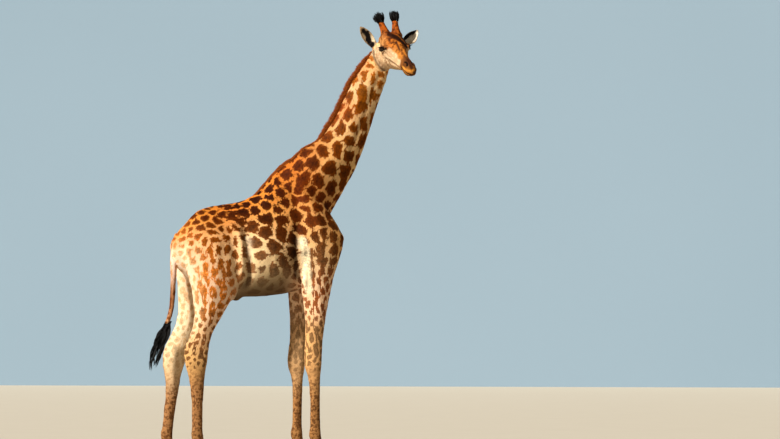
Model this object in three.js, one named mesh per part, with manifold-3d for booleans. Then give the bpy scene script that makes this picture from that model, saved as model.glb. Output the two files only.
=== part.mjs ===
// A young bull giraffe standing still, life size, with its head turned to its right.
// Millimetres, +Z up. It faces +X and its left side is +Y. The origin lies on the floor,
// under the middle of the animal's own box.
//
// The flesh is made of lofts: rows of rings, each ring a rounded outline with its own reach
// upwards, downwards and to the sides. Lofts are joined into the whole body, and the body is
// then parted by thin cuts into the pieces that a person would name.

import * as THREE from 'three';
import Module from 'manifold-3d';

const wasm = await Module();
wasm.setup();

// ---------------------------------------------------------------- driving sizes

const GAP = 0.6; // between neighbouring pieces
const ROUND = 2; // power of a plain ellipse
const MANE_HEIGHT = 54;
const MANE_HALF_THICKNESS = 15;
const EYE_RADIUS = 24;
const SMOOTHNESS = 3; // how far a facet may stray when a body is simplified

// Feet, measured on the floor. The left hind foot stands furthest back.
const FEET = {
  front_right: { x: 585, y: -178 },
  front_left: { x: 520, y: 178 },
  hind_right: { x: -536, y: -172 },
  hind_left: { x: -751, y: 172 },
};

// The head's place and turn. Its own frame has X out along the face, Y to its left, Z up.
const HEAD = {
  at: new THREE.Vector3(1364, -155, 3823), // midway between the eyes
  yaw: THREE.MathUtils.degToRad(-86),
  pitch: THREE.MathUtils.degToRad(32),
  roll: THREE.MathUtils.degToRad(8),
};

const materials = {
  coat: new THREE.MeshStandardMaterial({ color: 0xb9793f, roughness: 0.8, metalness: 0 }),
  pale: new THREE.MeshStandardMaterial({ color: 0xe2c69b, roughness: 0.8, metalness: 0 }),
  mane: new THREE.MeshStandardMaterial({ color: 0x8a4418, roughness: 0.85, metalness: 0 }),
  black: new THREE.MeshStandardMaterial({ color: 0x16110f, roughness: 0.85, metalness: 0 }),
  eye: new THREE.MeshStandardMaterial({ color: 0x1a0f0a, roughness: 0.1, metalness: 0 }),
  hoof: new THREE.MeshStandardMaterial({ color: 0x3b3029, roughness: 0.6, metalness: 0 }),
};

// ---------------------------------------------------------------- shaping tools

const Y_AXIS = new THREE.Vector3(0, 1, 0);
const Z_AXIS = new THREE.Vector3(0, 0, 1);
const X_AXIS = new THREE.Vector3(1, 0, 0);

// Reads a row of named sections at `count` even steps, eased by Catmull-Rom curves that
// carry three of the named values each.
function eased(rows, count) {
  const keys = Object.keys(rows[0]);
  const steps = Array.from({ length: count }, () => ({}));
  for (let k = 0; k < keys.length; k += 3) {
    const trio = keys.slice(k, k + 3);
    const corners = rows.map((row) => new THREE.Vector3(...trio.map((key) => row[key]), 0, 0));
    const curve = new THREE.CatmullRomCurve3(corners, false, 'catmullrom', 0.5);
    steps.forEach((step, i) => {
      const values = curve.getPoint(i / (count - 1)).toArray();
      trio.forEach((key, j) => (step[key] = values[j]));
    });
  }
  return steps;
}

// Joins rings into one closed body. A ring has a centre, two axes, its reach along them, and
// the power of its upper and lower outline: 2 is an ellipse, less is a ridge, more is square.
function loft(rings, around) {
  const position = [];
  const index = [];
  for (const ring of rings) {
    for (let i = 0; i < around; i += 1) {
      const turn = (2 * Math.PI * i) / around;
      const [across, rise] = [Math.cos(turn), Math.sin(turn)];
      const power = 2 / (rise >= 0 ? ring.roof : ring.keel);
      const reach = rise >= 0 ? ring.up : ring.down;
      const side = across >= 0 ? ring.side : ring.inside ?? ring.side;
      const point = ring.centre
        .clone()
        .addScaledVector(ring.sideAxis, Math.sign(across) * Math.abs(across) ** power * side)
        .addScaledVector(ring.upAxis, Math.sign(rise) * Math.abs(rise) ** power * reach);
      position.push(...point.toArray());
    }
  }
  const first = position.length / 3;
  position.push(...rings[0].centre.toArray(), ...rings.at(-1).centre.toArray());
  for (let i = 0; i < around; i += 1) {
    const next = (i + 1) % around;
    for (let r = 0; r < rings.length - 1; r += 1) {
      const [a, b] = [r * around + i, r * around + next];
      index.push(a, b, b + around, a, b + around, a + around);
    }
    const last = (rings.length - 1) * around;
    index.push(first, next, i, first + 1, last + i, last + next);
  }
  return solid(position, index);
}

// A manifold body from points and triangles, turned the right way out.
function solid(position, index) {
  const body = (triangles) =>
    new wasm.Manifold(
      new wasm.Mesh({
        numProp: 3,
        vertProperties: new Float32Array(position),
        triVerts: new Uint32Array(triangles),
      }),
    );
  const made = body(index);
  if (made.volume() > 0) return made;
  const flipped = [];
  for (let t = 0; t < index.length; t += 3) flipped.push(index[t], index[t + 2], index[t + 1]);
  return body(flipped);
}

// A three.js geometry as a manifold body.
function fromGeometry(geometry, matrix = new THREE.Matrix4()) {
  const placed = geometry.clone().applyMatrix4(matrix);
  const place = new Map();
  const [position, weld] = [[], []];
  const source = placed.getAttribute('position');
  for (let i = 0; i < source.count; i += 1) {
    const point = new THREE.Vector3().fromBufferAttribute(source, i);
    const key = point.toArray().map((v) => v.toFixed(3)).join();
    if (!place.has(key)) {
      place.set(key, position.length / 3);
      position.push(...point.toArray());
    }
    weld.push(place.get(key));
  }
  const corners = Array.from(placed.index.array, (i) => weld[i]);
  const index = [];
  for (let t = 0; t < corners.length; t += 3) {
    const [a, b, c] = corners.slice(t, t + 3);
    if (a !== b && b !== c && c !== a) index.push(a, b, c);
  }
  return solid(position, index);
}

function box(low, high, grow = 0) {
  const size = high.map((v, i) => v - low[i] + 2 * grow);
  const middle = high.map((v, i) => (v + low[i]) / 2);
  return fromGeometry(
    new THREE.BoxGeometry(...size),
    new THREE.Matrix4().makeTranslation(...middle),
  );
}

function ball(centre, radii, turn = new THREE.Quaternion(), around = 16) {
  const matrix = new THREE.Matrix4().compose(centre, turn, new THREE.Vector3(...radii));
  return fromGeometry(new THREE.SphereGeometry(1, around, Math.round(around * 0.6)), matrix);
}

const join = (bodies) => bodies.reduce((whole, body) => whole.add(body));

// The largest of the bodies that a cut leaves.
function mainBody(body) {
  const bodies = body.decompose();
  return bodies.reduce((best, one) => (one.volume() > best.volume() ? one : best));
}

// ---------------------------------------------------------------- trunk

// Upright rings from rump to breast. `top` and `bottom` are heights, `mid` is where it is widest.
const TRUNK = [
  { x: -742, mid: 1930, top: 1985, bottom: 1850, side: 52, roof: 2.0, keel: 2.0 },
  { x: -715, mid: 1930, top: 2030, bottom: 1780, side: 100, roof: 2.0, keel: 2.0 },
  { x: -640, mid: 1925, top: 2125, bottom: 1690, side: 150, roof: 1.9, keel: 1.9 },
  { x: -500, mid: 1960, top: 2268, bottom: 1580, side: 205, roof: 1.75, keel: 1.9 },
  { x: -330, mid: 1950, top: 2318, bottom: 1510, side: 232, roof: 1.65, keel: 1.9 },
  { x: -150, mid: 1900, top: 2352, bottom: 1488, side: 262, roof: 1.65, keel: 2.0 },
  { x: 20, mid: 1870, top: 2418, bottom: 1486, side: 292, roof: 1.55, keel: 2.1 },
  { x: 170, mid: 1870, top: 2590, bottom: 1496, side: 290, roof: 1.35, keel: 2.1 },
  { x: 310, mid: 1880, top: 2735, bottom: 1515, side: 262, roof: 1.25, keel: 2.0 },
  { x: 450, mid: 1900, top: 2790, bottom: 1545, side: 232, roof: 1.25, keel: 1.9 },
  { x: 600, mid: 1950, top: 2590, bottom: 1590, side: 205, roof: 1.4, keel: 1.8 },
  { x: 740, mid: 2000, top: 2300, bottom: 1700, side: 165, roof: 1.7, keel: 1.8 },
  { x: 810, mid: 2010, top: 2160, bottom: 1820, side: 118, roof: 1.9, keel: 1.9 },
  { x: 850, mid: 2010, top: 2080, bottom: 1920, side: 60, roof: 2.0, keel: 2.0 },
];

function makeTrunk() {
  const rings = eased(TRUNK, 22).map((s) => ({
    centre: new THREE.Vector3(s.x, 0, s.mid),
    sideAxis: Y_AXIS,
    upAxis: Z_AXIS,
    up: s.top - s.mid,
    down: s.mid - s.bottom,
    side: s.side,
    roof: s.roof,
    keel: s.keel,
  }));
  const sheath = ball(new THREE.Vector3(-132, 0, 1492), [62, 34, 44]);
  return join([loft(rings, 20), sheath]);
}

// ---------------------------------------------------------------- neck and mane

const NECK = [
  { x: 480, y: 0, z: 2400, up: 330, down: 330, side: 170, roof: 1.6, keel: 1.9 },
  { x: 670, y: 0, z: 2640, up: 284, down: 284, side: 165, roof: 1.6, keel: 1.9 },
  { x: 760, y: 0, z: 2735, up: 262, down: 258, side: 156, roof: 1.6, keel: 1.9 },
  { x: 843, y: 0, z: 2837, up: 225, down: 224, side: 144, roof: 1.6, keel: 1.9 },
  { x: 959, y: 0, z: 3048, up: 194, down: 191, side: 124, roof: 1.6, keel: 1.9 },
  { x: 1052, y: 0, z: 3269, up: 177, down: 165, side: 108, roof: 1.65, keel: 2.0 },
  { x: 1137, y: 0, z: 3454, up: 170, down: 148, side: 97, roof: 1.7, keel: 2.0 },
  { x: 1232, y: -2, z: 3636, up: 140, down: 118, side: 90, roof: 1.8, keel: 2.0 },
  { x: 1298, y: -8, z: 3772, up: 128, down: 98, side: 84, roof: 1.9, keel: 2.0 },
  { x: 1342, y: -20, z: 3875, up: 100, down: 66, side: 66, roof: 2.0, keel: 2.0 },
];
const NECK_STEPS = 19;

function neckRings() {
  const steps = eased(NECK, NECK_STEPS);
  return steps.map((s, i) => {
    const before = steps[Math.max(i - 1, 0)];
    const after = steps[Math.min(i + 1, NECK_STEPS - 1)];
    const run = new THREE.Vector3(after.x - before.x, after.y - before.y, after.z - before.z);
    run.normalize();
    const upAxis = run.clone().cross(Y_AXIS).normalize();
    const sideAxis = upAxis.clone().cross(run).normalize();
    return { ...s, centre: new THREE.Vector3(s.x, s.y, s.z), sideAxis, upAxis };
  });
}

// The upright mane: a thin fin that follows the nape from the withers to the poll.
function makeMane(rings) {
  const nape = rings.slice(3, -2).filter((ring, i) => i % 2 === 0 || i === 0);
  const fin = nape.map((ring, i) => {
    const height = MANE_HEIGHT * Math.sin(Math.PI * (0.12 + 0.78 * (i / (nape.length - 1)) ** 0.8));
    return {
      centre: ring.centre.clone().addScaledVector(ring.upAxis, ring.up),
      sideAxis: ring.sideAxis,
      upAxis: ring.upAxis,
      up: height,
      down: 45,
      side: MANE_HALF_THICKNESS,
      roof: 1.5,
      keel: ROUND,
    };
  });
  return loft(fin, 6);
}

// ---------------------------------------------------------------- legs

// Level rings from the shoulder to the pastern of a front leg. `x` and `y` are measured from
// the foot; `out` is the reach away from the belly and `inn` the reach towards it.
const FRONT_LEG = [
  { z: 2580, x: -115, y: 112, front: 70, back: 70, out: 26, roof: 2.0, keel: 2.0 },
  { z: 2400, x: -60, y: 68, front: 120, back: 140, out: 76, roof: 2.0, keel: 2.0 },
  { z: 2200, x: 15, y: 48, front: 180, back: 205, out: 108, roof: 1.9, keel: 1.9 },
  { z: 2040, x: 35, y: 38, front: 250, back: 222, out: 116, roof: 1.9, keel: 1.9 },
  { z: 1880, x: 25, y: 26, front: 222, back: 212, out: 110, roof: 1.9, keel: 1.9 },
  { z: 1720, x: 8, y: 10, front: 180, back: 186, out: 98, roof: 1.9, keel: 1.8 },
  { z: 1560, x: -6, y: 0, front: 150, back: 146, out: 82, roof: 2.0, keel: 1.8 },
  { z: 1400, x: -12, y: -2, front: 122, back: 116, out: 70, roof: 2.0, keel: 1.8 },
  { z: 1220, x: -20, y: -2, front: 100, back: 92, out: 60, roof: 2.0, keel: 1.9 },
  { z: 1060, x: -28, y: -2, front: 88, back: 84, out: 56, roof: 2.2, keel: 2.0 },
  { z: 930, x: -32, y: -2, front: 84, back: 90, out: 62, roof: 2.5, keel: 2.0 },
  { z: 850, x: -30, y: -1, front: 78, back: 84, out: 58, roof: 2.4, keel: 1.9 },
  { z: 770, x: -20, y: 0, front: 60, back: 64, out: 44, roof: 2.1, keel: 1.9 },
  { z: 640, x: -12, y: 0, front: 49, back: 50, out: 37, roof: 2.0, keel: 2.0 },
  { z: 450, x: -8, y: 0, front: 46, back: 49, out: 36, roof: 2.0, keel: 2.0 },
  { z: 300, x: -4, y: 0, front: 48, back: 54, out: 41, roof: 2.0, keel: 2.0 },
  { z: 222, x: -2, y: 0, front: 53, back: 66, out: 52, roof: 2.0, keel: 2.0 },
  { z: 150, x: 16, y: 0, front: 48, back: 56, out: 46, roof: 2.0, keel: 2.0 },
  { z: 78, x: 36, y: 0, front: 50, back: 58, out: 50, roof: 2.0, keel: 2.0 },
];

// A hind leg from the hip to the pastern. `sweep` is how much of the foot's step back each
// level shares, so that two feet at different places still meet one pelvis.
const HIND_LEG = [
  { z: 2235, x: 118, y: 100, front: 45, back: 40, out: 22, roof: 2.0, keel: 2.0 },
  { z: 2170, x: 124, y: 82, front: 132, back: 130, out: 70, roof: 2.0, keel: 2.0 },
  { z: 2060, x: 128, y: 52, front: 225, back: 238, out: 132, roof: 2.0, keel: 1.8 },
  { z: 1930, x: 132, y: 40, front: 268, back: 280, out: 146, roof: 2.0, keel: 1.7 },
  { z: 1780, x: 138, y: 26, front: 286, back: 272, out: 142, roof: 2.0, keel: 1.7 },
  { z: 1640, x: 138, y: 10, front: 260, back: 232, out: 122, roof: 1.9, keel: 1.7 },
  { z: 1500, x: 124, y: 0, front: 212, back: 190, out: 98, roof: 1.9, keel: 1.7 },
  { z: 1360, x: 96, y: -4, front: 162, back: 140, out: 78, roof: 2.0, keel: 1.6 },
  { z: 1230, x: 56, y: -4, front: 122, back: 108, out: 63, roof: 2.0, keel: 1.5 },
  { z: 1110, x: 14, y: -3, front: 108, back: 116, out: 55, roof: 2.1, keel: 1.35 },
  { z: 1010, x: -8, y: -2, front: 108, back: 128, out: 56, roof: 2.3, keel: 1.4 },
  { z: 930, x: -12, y: -2, front: 104, back: 124, out: 58, roof: 2.4, keel: 1.6 },
  { z: 840, x: -8, y: -1, front: 86, back: 108, out: 52, roof: 2.3, keel: 1.7 },
  { z: 740, x: -4, y: 0, front: 68, back: 80, out: 43, roof: 2.1, keel: 1.8 },
  { z: 600, x: -2, y: 0, front: 58, back: 62, out: 38, roof: 2.0, keel: 1.9 },
  { z: 440, x: 0, y: 0, front: 52, back: 56, out: 36, roof: 2.0, keel: 2.0 },
  { z: 300, x: 0, y: 0, front: 50, back: 56, out: 39, roof: 2.0, keel: 2.0 },
  { z: 222, x: 4, y: 0, front: 53, back: 66, out: 48, roof: 2.0, keel: 2.0 },
  { z: 150, x: 22, y: 0, front: 48, back: 54, out: 43, roof: 2.0, keel: 2.0 },
  { z: 78, x: 40, y: 0, front: 48, back: 54, out: 46, roof: 2.0, keel: 2.0 },
];
const LEG_STEPS = 25;

// How far a leg leans with its foot: all of it at the floor, none of it at the hip or shoulder.
const HIND_REST_X = -536;
const FRONT_REST_X = 585;
const LEAN = {
  front: { rest: FRONT_REST_X, top: 1900, bend: 0.8 },
  hind: { rest: HIND_REST_X, top: 1800, bend: 1.0 },
};

function makeLeg(rows, foot, lean) {
  const sign = Math.sign(foot.y);
  const rings = eased(rows, LEG_STEPS).map((s) => {
    const share = THREE.MathUtils.clamp(1 - s.z / lean.top, 0, 1) ** lean.bend;
    const x = lean.rest + s.x + share * (foot.x - lean.rest);
    return {
      centre: new THREE.Vector3(x, foot.y - sign * s.y, s.z),
      sideAxis: Y_AXIS,
      upAxis: X_AXIS,
      up: s.front,
      down: s.back,
      side: s.out,
      roof: s.roof,
      keel: s.keel,
    };
  });
  return loft(rings, 12);
}

// One of the two toes of a foot: a horn shoe with a flat sole at floor level.
const TOE = [
  { z: 0, x: 40, front: 94, back: 78, half: 31, roof: 2.2, keel: 2.5 },
  { z: 14, x: 40, front: 92, back: 79, half: 32, roof: 2.2, keel: 2.5 },
  { z: 52, x: 36, front: 70, back: 74, half: 30, roof: 2.2, keel: 2.4 },
  { z: 96, x: 32, front: 42, back: 62, half: 26, roof: 2.2, keel: 2.3 },
];
const TOE_OFFSET = 34; // from the foot's middle to a toe's middle

function makeToe(foot, hand, grow = 0) {
  const rings = TOE.map((s) => ({
    centre: new THREE.Vector3(foot.x + s.x, foot.y + hand * TOE_OFFSET, s.z + (s.z > 60 ? grow : 0)),
    sideAxis: Y_AXIS,
    upAxis: X_AXIS,
    up: s.front + grow,
    down: s.back + grow,
    side: s.half + grow,
    roof: s.roof,
    keel: s.keel,
  }));
  return loft(rings, 12);
}

// ---------------------------------------------------------------- tail

const TAIL = [
  { x: -600, y: 0, z: 2020, r: 40 },
  { x: -680, y: 0, z: 2022, r: 40 },
  { x: -716, y: -4, z: 1900, r: 31 },
  { x: -725, y: -10, z: 1650, r: 24 },
  { x: -738, y: -14, z: 1400, r: 18 },
  { x: -778, y: -18, z: 1255, r: 15 },
  { x: -810, y: -20, z: 1185, r: 12 },
];
const TAIL_TUFT = [
  { x: -782, y: -18, z: 1235, r: 20 },
  { x: -808, y: -20, z: 1170, r: 46 },
  { x: -838, y: -24, z: 1090, r: 64 },
  { x: -868, y: -28, z: 1000, r: 58 },
  { x: -900, y: -32, z: 900, r: 36 },
  { x: -922, y: -34, z: 815, r: 9 },
];

function makeCord(rows, count, around) {
  const steps = eased(rows, count);
  const rings = steps.map((s, i) => {
    const before = steps[Math.max(i - 1, 0)];
    const after = steps[Math.min(i + 1, count - 1)];
    const run = new THREE.Vector3(after.x - before.x, after.y - before.y, after.z - before.z);
    const upAxis = run.clone().cross(Y_AXIS).normalize();
    const sideAxis = upAxis.clone().cross(run).normalize();
    const centre = new THREE.Vector3(s.x, s.y, s.z);
    return { centre, sideAxis, upAxis, up: s.r, down: s.r, side: s.r, roof: ROUND, keel: ROUND };
  });
  return loft(rings, around);
}

// ---------------------------------------------------------------- head

const headTurn = new THREE.Quaternion().setFromEuler(
  new THREE.Euler(HEAD.roll, HEAD.pitch, HEAD.yaw, 'ZYX'),
);
const headAxis = (x, y, z) => new THREE.Vector3(x, y, z).applyQuaternion(headTurn);
const headPoint = (x, y, z) => headAxis(x, y, z).add(HEAD.at);

// Rings along the face, from the back of the skull to the lips. Heights are from the eye line.
const SKULL = [
  { along: -226, mid: -30, top: 24, bottom: -96, side: 46, roof: 2.0, keel: 2.0 },
  { along: -204, mid: -30, top: 70, bottom: -158, side: 90, roof: 2.1, keel: 2.3 },
  { along: -150, mid: -25, top: 102, bottom: -210, side: 116, roof: 2.2, keel: 2.4 },
  { along: -85, mid: -18, top: 112, bottom: -230, side: 126, roof: 2.1, keel: 2.3 },
  { along: -20, mid: -8, top: 106, bottom: -220, side: 128, roof: 1.9, keel: 2.1 },
  { along: 45, mid: -6, top: 92, bottom: -198, side: 112, roof: 1.7, keel: 2.0 },
  { along: 105, mid: -18, top: 78, bottom: -172, side: 89, roof: 1.6, keel: 1.9 },
  { along: 165, mid: -32, top: 65, bottom: -146, side: 71, roof: 1.55, keel: 1.9 },
  { along: 222, mid: -40, top: 53, bottom: -122, side: 62, roof: 1.6, keel: 1.95 },
  { along: 280, mid: -42, top: 42, bottom: -102, side: 58, roof: 1.8, keel: 2.0 },
  { along: 338, mid: -42, top: 31, bottom: -98, side: 60, roof: 2.2, keel: 2.1 },
  { along: 388, mid: -44, top: 16, bottom: -105, side: 60, roof: 2.3, keel: 2.1 },
  { along: 424, mid: -52, top: -10, bottom: -98, side: 48, roof: 2.1, keel: 2.0 },
  { along: 444, mid: -60, top: -38, bottom: -84, side: 26, roof: 2.0, keel: 2.0 },
];

function makeSkull(grow = 0) {
  const rings = eased(SKULL, 21).map((s) => ({
    centre: headPoint(s.along, 0, s.mid),
    sideAxis: headAxis(0, 1, 0),
    upAxis: headAxis(0, 0, 1),
    up: s.top - s.mid + grow,
    down: s.mid - s.bottom + grow,
    side: s.side + grow,
    roof: s.roof,
    keel: s.keel,
  }));
  return loft(rings, 18);
}

const EYE = { along: 6, out: 121, up: 2 };
const ORBIT = { along: -2, out: 95, up: 6, radii: [60, 42, 42] };

// A horn: a bony stalk under skin, leaning back, with a brush of hair round its knob.
const HORN = {
  along: -138,
  out: 49,
  up: 72,
  length: 198,
  lean: { along: -0.82, out: 0.2, up: 0.9 },
};
const HORN_ROWS = [
  { t: -0.1, r: 54 },
  { t: 0.12, r: 44 },
  { t: 0.35, r: 32 },
  { t: 0.62, r: 25 },
  { t: 0.85, r: 27 },
  { t: 0.97, r: 22 },
  { t: 1.0, r: 10 },
];
const BRUSH_ROWS = [
  { t: 0.66, r: 27 },
  { t: 0.78, r: 39 },
  { t: 0.95, r: 51 },
  { t: 1.1, r: 50 },
  { t: 1.18, r: 24 },
];

// A stalk of round rings from a base point on the head along a direction.
function makeStalk(base, direction, length, rows, count, around) {
  const across = Math.abs(direction.z) > 0.9 ? Y_AXIS : Z_AXIS;
  const sideAxis = direction.clone().cross(across).normalize();
  const upAxis = sideAxis.clone().cross(direction).normalize();
  const rings = eased(rows, count).map((s) => ({
    centre: base.clone().addScaledVector(direction, s.t * length),
    sideAxis,
    upAxis,
    up: s.r,
    down: s.r,
    side: s.r,
    roof: ROUND,
    keel: ROUND,
  }));
  return loft(rings, around);
}

// An ear: a leaf-shaped cup. `axis` runs to the tip and `mouth` is the way that it opens.
const EAR = {
  length: 232,
  along: -168,
  out: 134,
  up: -36,
  right: { axis: [-0.56, 0.19, 0.81], mouth: [-0.29, -0.96, 0], shift: [-12, 0, -9] },
  left: { axis: [0.78, 0.22, 0.66], mouth: [-0.23, -0.77, 0.4], shift: [8, 0, -2] },
};
const EAR_SHELL = [
  { t: -0.14, half: 30, deep: 30, rim: 12 },
  { t: 0.06, half: 34, deep: 34, rim: 12 },
  { t: 0.24, half: 46, deep: 37, rim: 13 },
  { t: 0.45, half: 53, deep: 36, rim: 13 },
  { t: 0.66, half: 48, deep: 29, rim: 10 },
  { t: 0.85, half: 31, deep: 17, rim: 6 },
  { t: 0.96, half: 12, deep: 8, rim: 3 },
  { t: 1.0, half: 4, deep: 4, rim: 2 },
];
const EAR_WALL = 9;
const EAR_HOLLOW_START = 0.12;

function makeEar(hand) {
  const aim = hand < 0 ? EAR.right : EAR.left;
  const axis = new THREE.Vector3(...aim.axis).normalize();
  const side = axis.clone().cross(new THREE.Vector3(...aim.mouth)).normalize();
  const mouth = side.clone().cross(axis).normalize();
  const base = headPoint(EAR.along, hand * EAR.out, EAR.up).add(new THREE.Vector3(...aim.shift));
  const shell = eased(EAR_SHELL, 9).map((s) => ({
    centre: base.clone().addScaledVector(axis, s.t * EAR.length),
    sideAxis: side,
    upAxis: mouth,
    up: s.rim,
    down: s.deep,
    side: s.half,
    roof: ROUND,
    keel: ROUND,
  }));
  const hollow = eased(EAR_SHELL, 9)
    .filter((s) => s.t > EAR_HOLLOW_START && s.half > EAR_WALL + 3)
    .map((s) => ({
      centre: base.clone().addScaledVector(axis, s.t * EAR.length),
      sideAxis: side,
      upAxis: mouth,
      up: s.deep * 1.2,
      down: Math.max(s.deep - EAR_WALL, 3),
      side: s.half - EAR_WALL * 0.7,
      roof: ROUND,
      keel: ROUND,
    }));
  return loft(shell, 10).subtract(loft(hollow, 10));
}

// ---------------------------------------------------------------- assembly

const model = new THREE.Group();

function addPiece(name, body, material, stray = 0.1) {
  const mesh = body.simplify(stray).getMesh();
  const geometry = new THREE.BufferGeometry();
  geometry.setAttribute('position', new THREE.BufferAttribute(mesh.vertProperties, 3));
  geometry.setIndex(new THREE.BufferAttribute(mesh.triVerts, 1));
  geometry.computeVertexNormals();
  const piece = new THREE.Mesh(geometry, material);
  piece.name = name;
  model.add(piece);
}

// The region of one leg: below a plane that falls from outside the hip or shoulder to the
// groin or armpit, on the leg's own side of the body.
function legRegion(hand, from, to, outer, inner, grow = 0) {
  const fall = Math.atan2(outer.z - inner.z, outer.y - inner.y);
  const far = 3200;
  const slab = new THREE.BoxGeometry(to - from + 2 * grow, far, far);
  const matrix = new THREE.Matrix4()
    .makeTranslation((from + to) / 2, hand * inner.y, inner.z)
    .multiply(new THREE.Matrix4().makeRotationX(hand * fall))
    .multiply(new THREE.Matrix4().makeTranslation(0, 0, grow - far / 2));
  const ownSide = hand < 0 ? [-far, -6 + grow] : [6 - grow, far];
  const half = box([-far, ownSide[0], -far], [far, ownSide[1], far]);
  return fromGeometry(slab, matrix).intersect(half);
}

const LEG_CUTS = {
  front: { from: 250, to: 1100, outer: { y: 290, z: 1800 }, inner: { y: 60, z: 1455 } },
  hind: { from: -1150, to: -92, outer: { y: 300, z: 2010 }, inner: { y: 40, z: 1478 } },
};
const JOINT_LEVEL = { front: 905, hind: 985 };

const trunkBody = makeTrunk();
const neckBody = loft(neckRings(), 20);
const skullBody = makeSkull();

let torso = trunkBody;
for (const [name, foot] of Object.entries(FEET)) {
  const end = name.split('_')[0];
  torso = torso.add(makeLeg(end === 'front' ? FRONT_LEG : HIND_LEG, foot, LEAN[end]));
}

// Legs come away from the torso, then each leg parts at its knee or hock and at its hoofs.
const legs = {};
const flesh = torso.add(neckBody).simplify(SMOOTHNESS);
let trunk = flesh;
for (const [name, foot] of Object.entries(FEET)) {
  const [end, hand] = [name.split('_')[0], Math.sign(foot.y)];
  const cut = LEG_CUTS[end];
  const region = (grow) => legRegion(hand, cut.from, cut.to, cut.outer, cut.inner, grow);
  legs[name] = mainBody(flesh.intersect(region(0)));
  trunk = trunk.subtract(region(GAP));
}

// The neck comes away at a plane from the withers to the notch above the breast.
const neckCut = { low: [806, 2318], high: [420, 2850] };
const neckRise = Math.atan2(neckCut.high[1] - neckCut.low[1], neckCut.high[0] - neckCut.low[0]);
function neckRegion(grow) {
  const far = 4000;
  const matrix = new THREE.Matrix4()
    .makeTranslation(neckCut.low[0], 0, neckCut.low[1])
    .multiply(new THREE.Matrix4().makeRotationY(-neckRise))
    .multiply(new THREE.Matrix4().makeTranslation(0, 0, -far / 2 + grow));
  return fromGeometry(new THREE.BoxGeometry(far, far, far), matrix);
}
const tailBody = makeCord(TAIL, 13, 8);
const tailGrown = makeCord(TAIL.map((s) => ({ ...s, r: s.r + 2 * GAP })), 13, 8).add(
  ball(new THREE.Vector3(TAIL[0].x, TAIL[0].y, TAIL[0].z), Array(3).fill(TAIL[0].r + 4)),
);
const neck = mainBody(trunk.intersect(neckRegion(0)));
trunk = mainBody(trunk.simplify(SMOOTHNESS).subtract(neckRegion(GAP)).subtract(tailGrown));
const skullGrown = makeSkull(GAP);

addPiece('trunk', trunk, materials.coat);
addPiece('neck', mainBody(neck.subtract(skullGrown)), materials.coat);

const neckGrown = loft(
  neckRings().map((ring) => ({
    ...ring,
    up: ring.up + 2 * GAP,
    down: ring.down + 2 * GAP,
    side: ring.side + 2 * GAP,
  })),
  20,
);

const maneBody = makeMane(neckRings());
addPiece(
  'mane',
  mainBody(maneBody.subtract(neckGrown).subtract(skullGrown).intersect(neckRegion(-GAP))),
  materials.mane,
);

const tuftBody = makeCord(TAIL_TUFT, 9, 10);
const tuftGrown = makeCord(TAIL_TUFT.map((s) => ({ ...s, r: s.r + GAP, z: s.z + GAP })), 9, 10);
addPiece('tail', mainBody(tailBody.subtract(tuftGrown)), materials.coat);
addPiece('tail_tuft', tuftBody, materials.black);

for (const [name, foot] of Object.entries(FEET)) {
  const [end, side] = name.split('_');
  const level = JOINT_LEVEL[end];
  const below = (grow) => box([-2000, -1000, -100], [2000, 1000, level + grow]);
  let shank = legs[name].intersect(below(0));
  for (const [toeName, hand] of [['left_toe', 1], ['right_toe', -1]]) {
    addPiece(`hoof_${end}_${side}_${toeName}`, makeToe(foot, hand), materials.hoof);
    shank = shank.subtract(makeToe(foot, hand, GAP));
  }
  addPiece(
    `leg_${end}_${side}_upper`,
    mainBody(legs[name].subtract(below(GAP))),
    materials.coat,
    SMOOTHNESS,
  );
  addPiece(`leg_${end}_${side}_lower`, mainBody(shank), materials.pale);
}

let head = skullBody;
const sockets = [];
for (const [side, hand] of [['right', -1], ['left', 1]]) {
  const turn = headTurn.clone();
  const orbit = headPoint(ORBIT.along, hand * ORBIT.out, ORBIT.up);
  head = head.add(ball(orbit, ORBIT.radii, turn, 12));
  const eye = headPoint(EYE.along, hand * EYE.out, EYE.up);
  sockets.push(ball(eye, Array(3).fill(EYE_RADIUS + GAP), turn, 12));
  addPiece(`eye_${side}`, ball(eye, Array(3).fill(EYE_RADIUS), turn, 12), materials.eye);
}
head = head.simplify(1.2);
for (const socket of sockets) head = head.subtract(socket);

for (const [side, hand] of [['right', -1], ['left', 1]]) {
  const base = headPoint(HORN.along, hand * HORN.out, HORN.up);
  const lean = headAxis(HORN.lean.along, hand * HORN.lean.out, HORN.lean.up).normalize();
  const horn = makeStalk(base, lean, HORN.length, HORN_ROWS, 8, 10);
  const brush = makeStalk(base, lean, HORN.length, BRUSH_ROWS, 6, 10);
  const grown = BRUSH_ROWS.map((s) => ({ t: s.t - GAP / HORN.length, r: s.r + GAP }));
  const brushGrown = makeStalk(base, lean, HORN.length, grown, 6, 10);
  addPiece(
    `ossicone_${side}`,
    mainBody(horn.subtract(skullGrown).subtract(brushGrown)),
    materials.coat,
  );
  addPiece(`ossicone_brush_${side}`, brush, materials.black);
  const ear = makeEar(hand).subtract(skullGrown).subtract(neckGrown);
  addPiece(`ear_${side}`, mainBody(ear), materials.pale);
}

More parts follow.
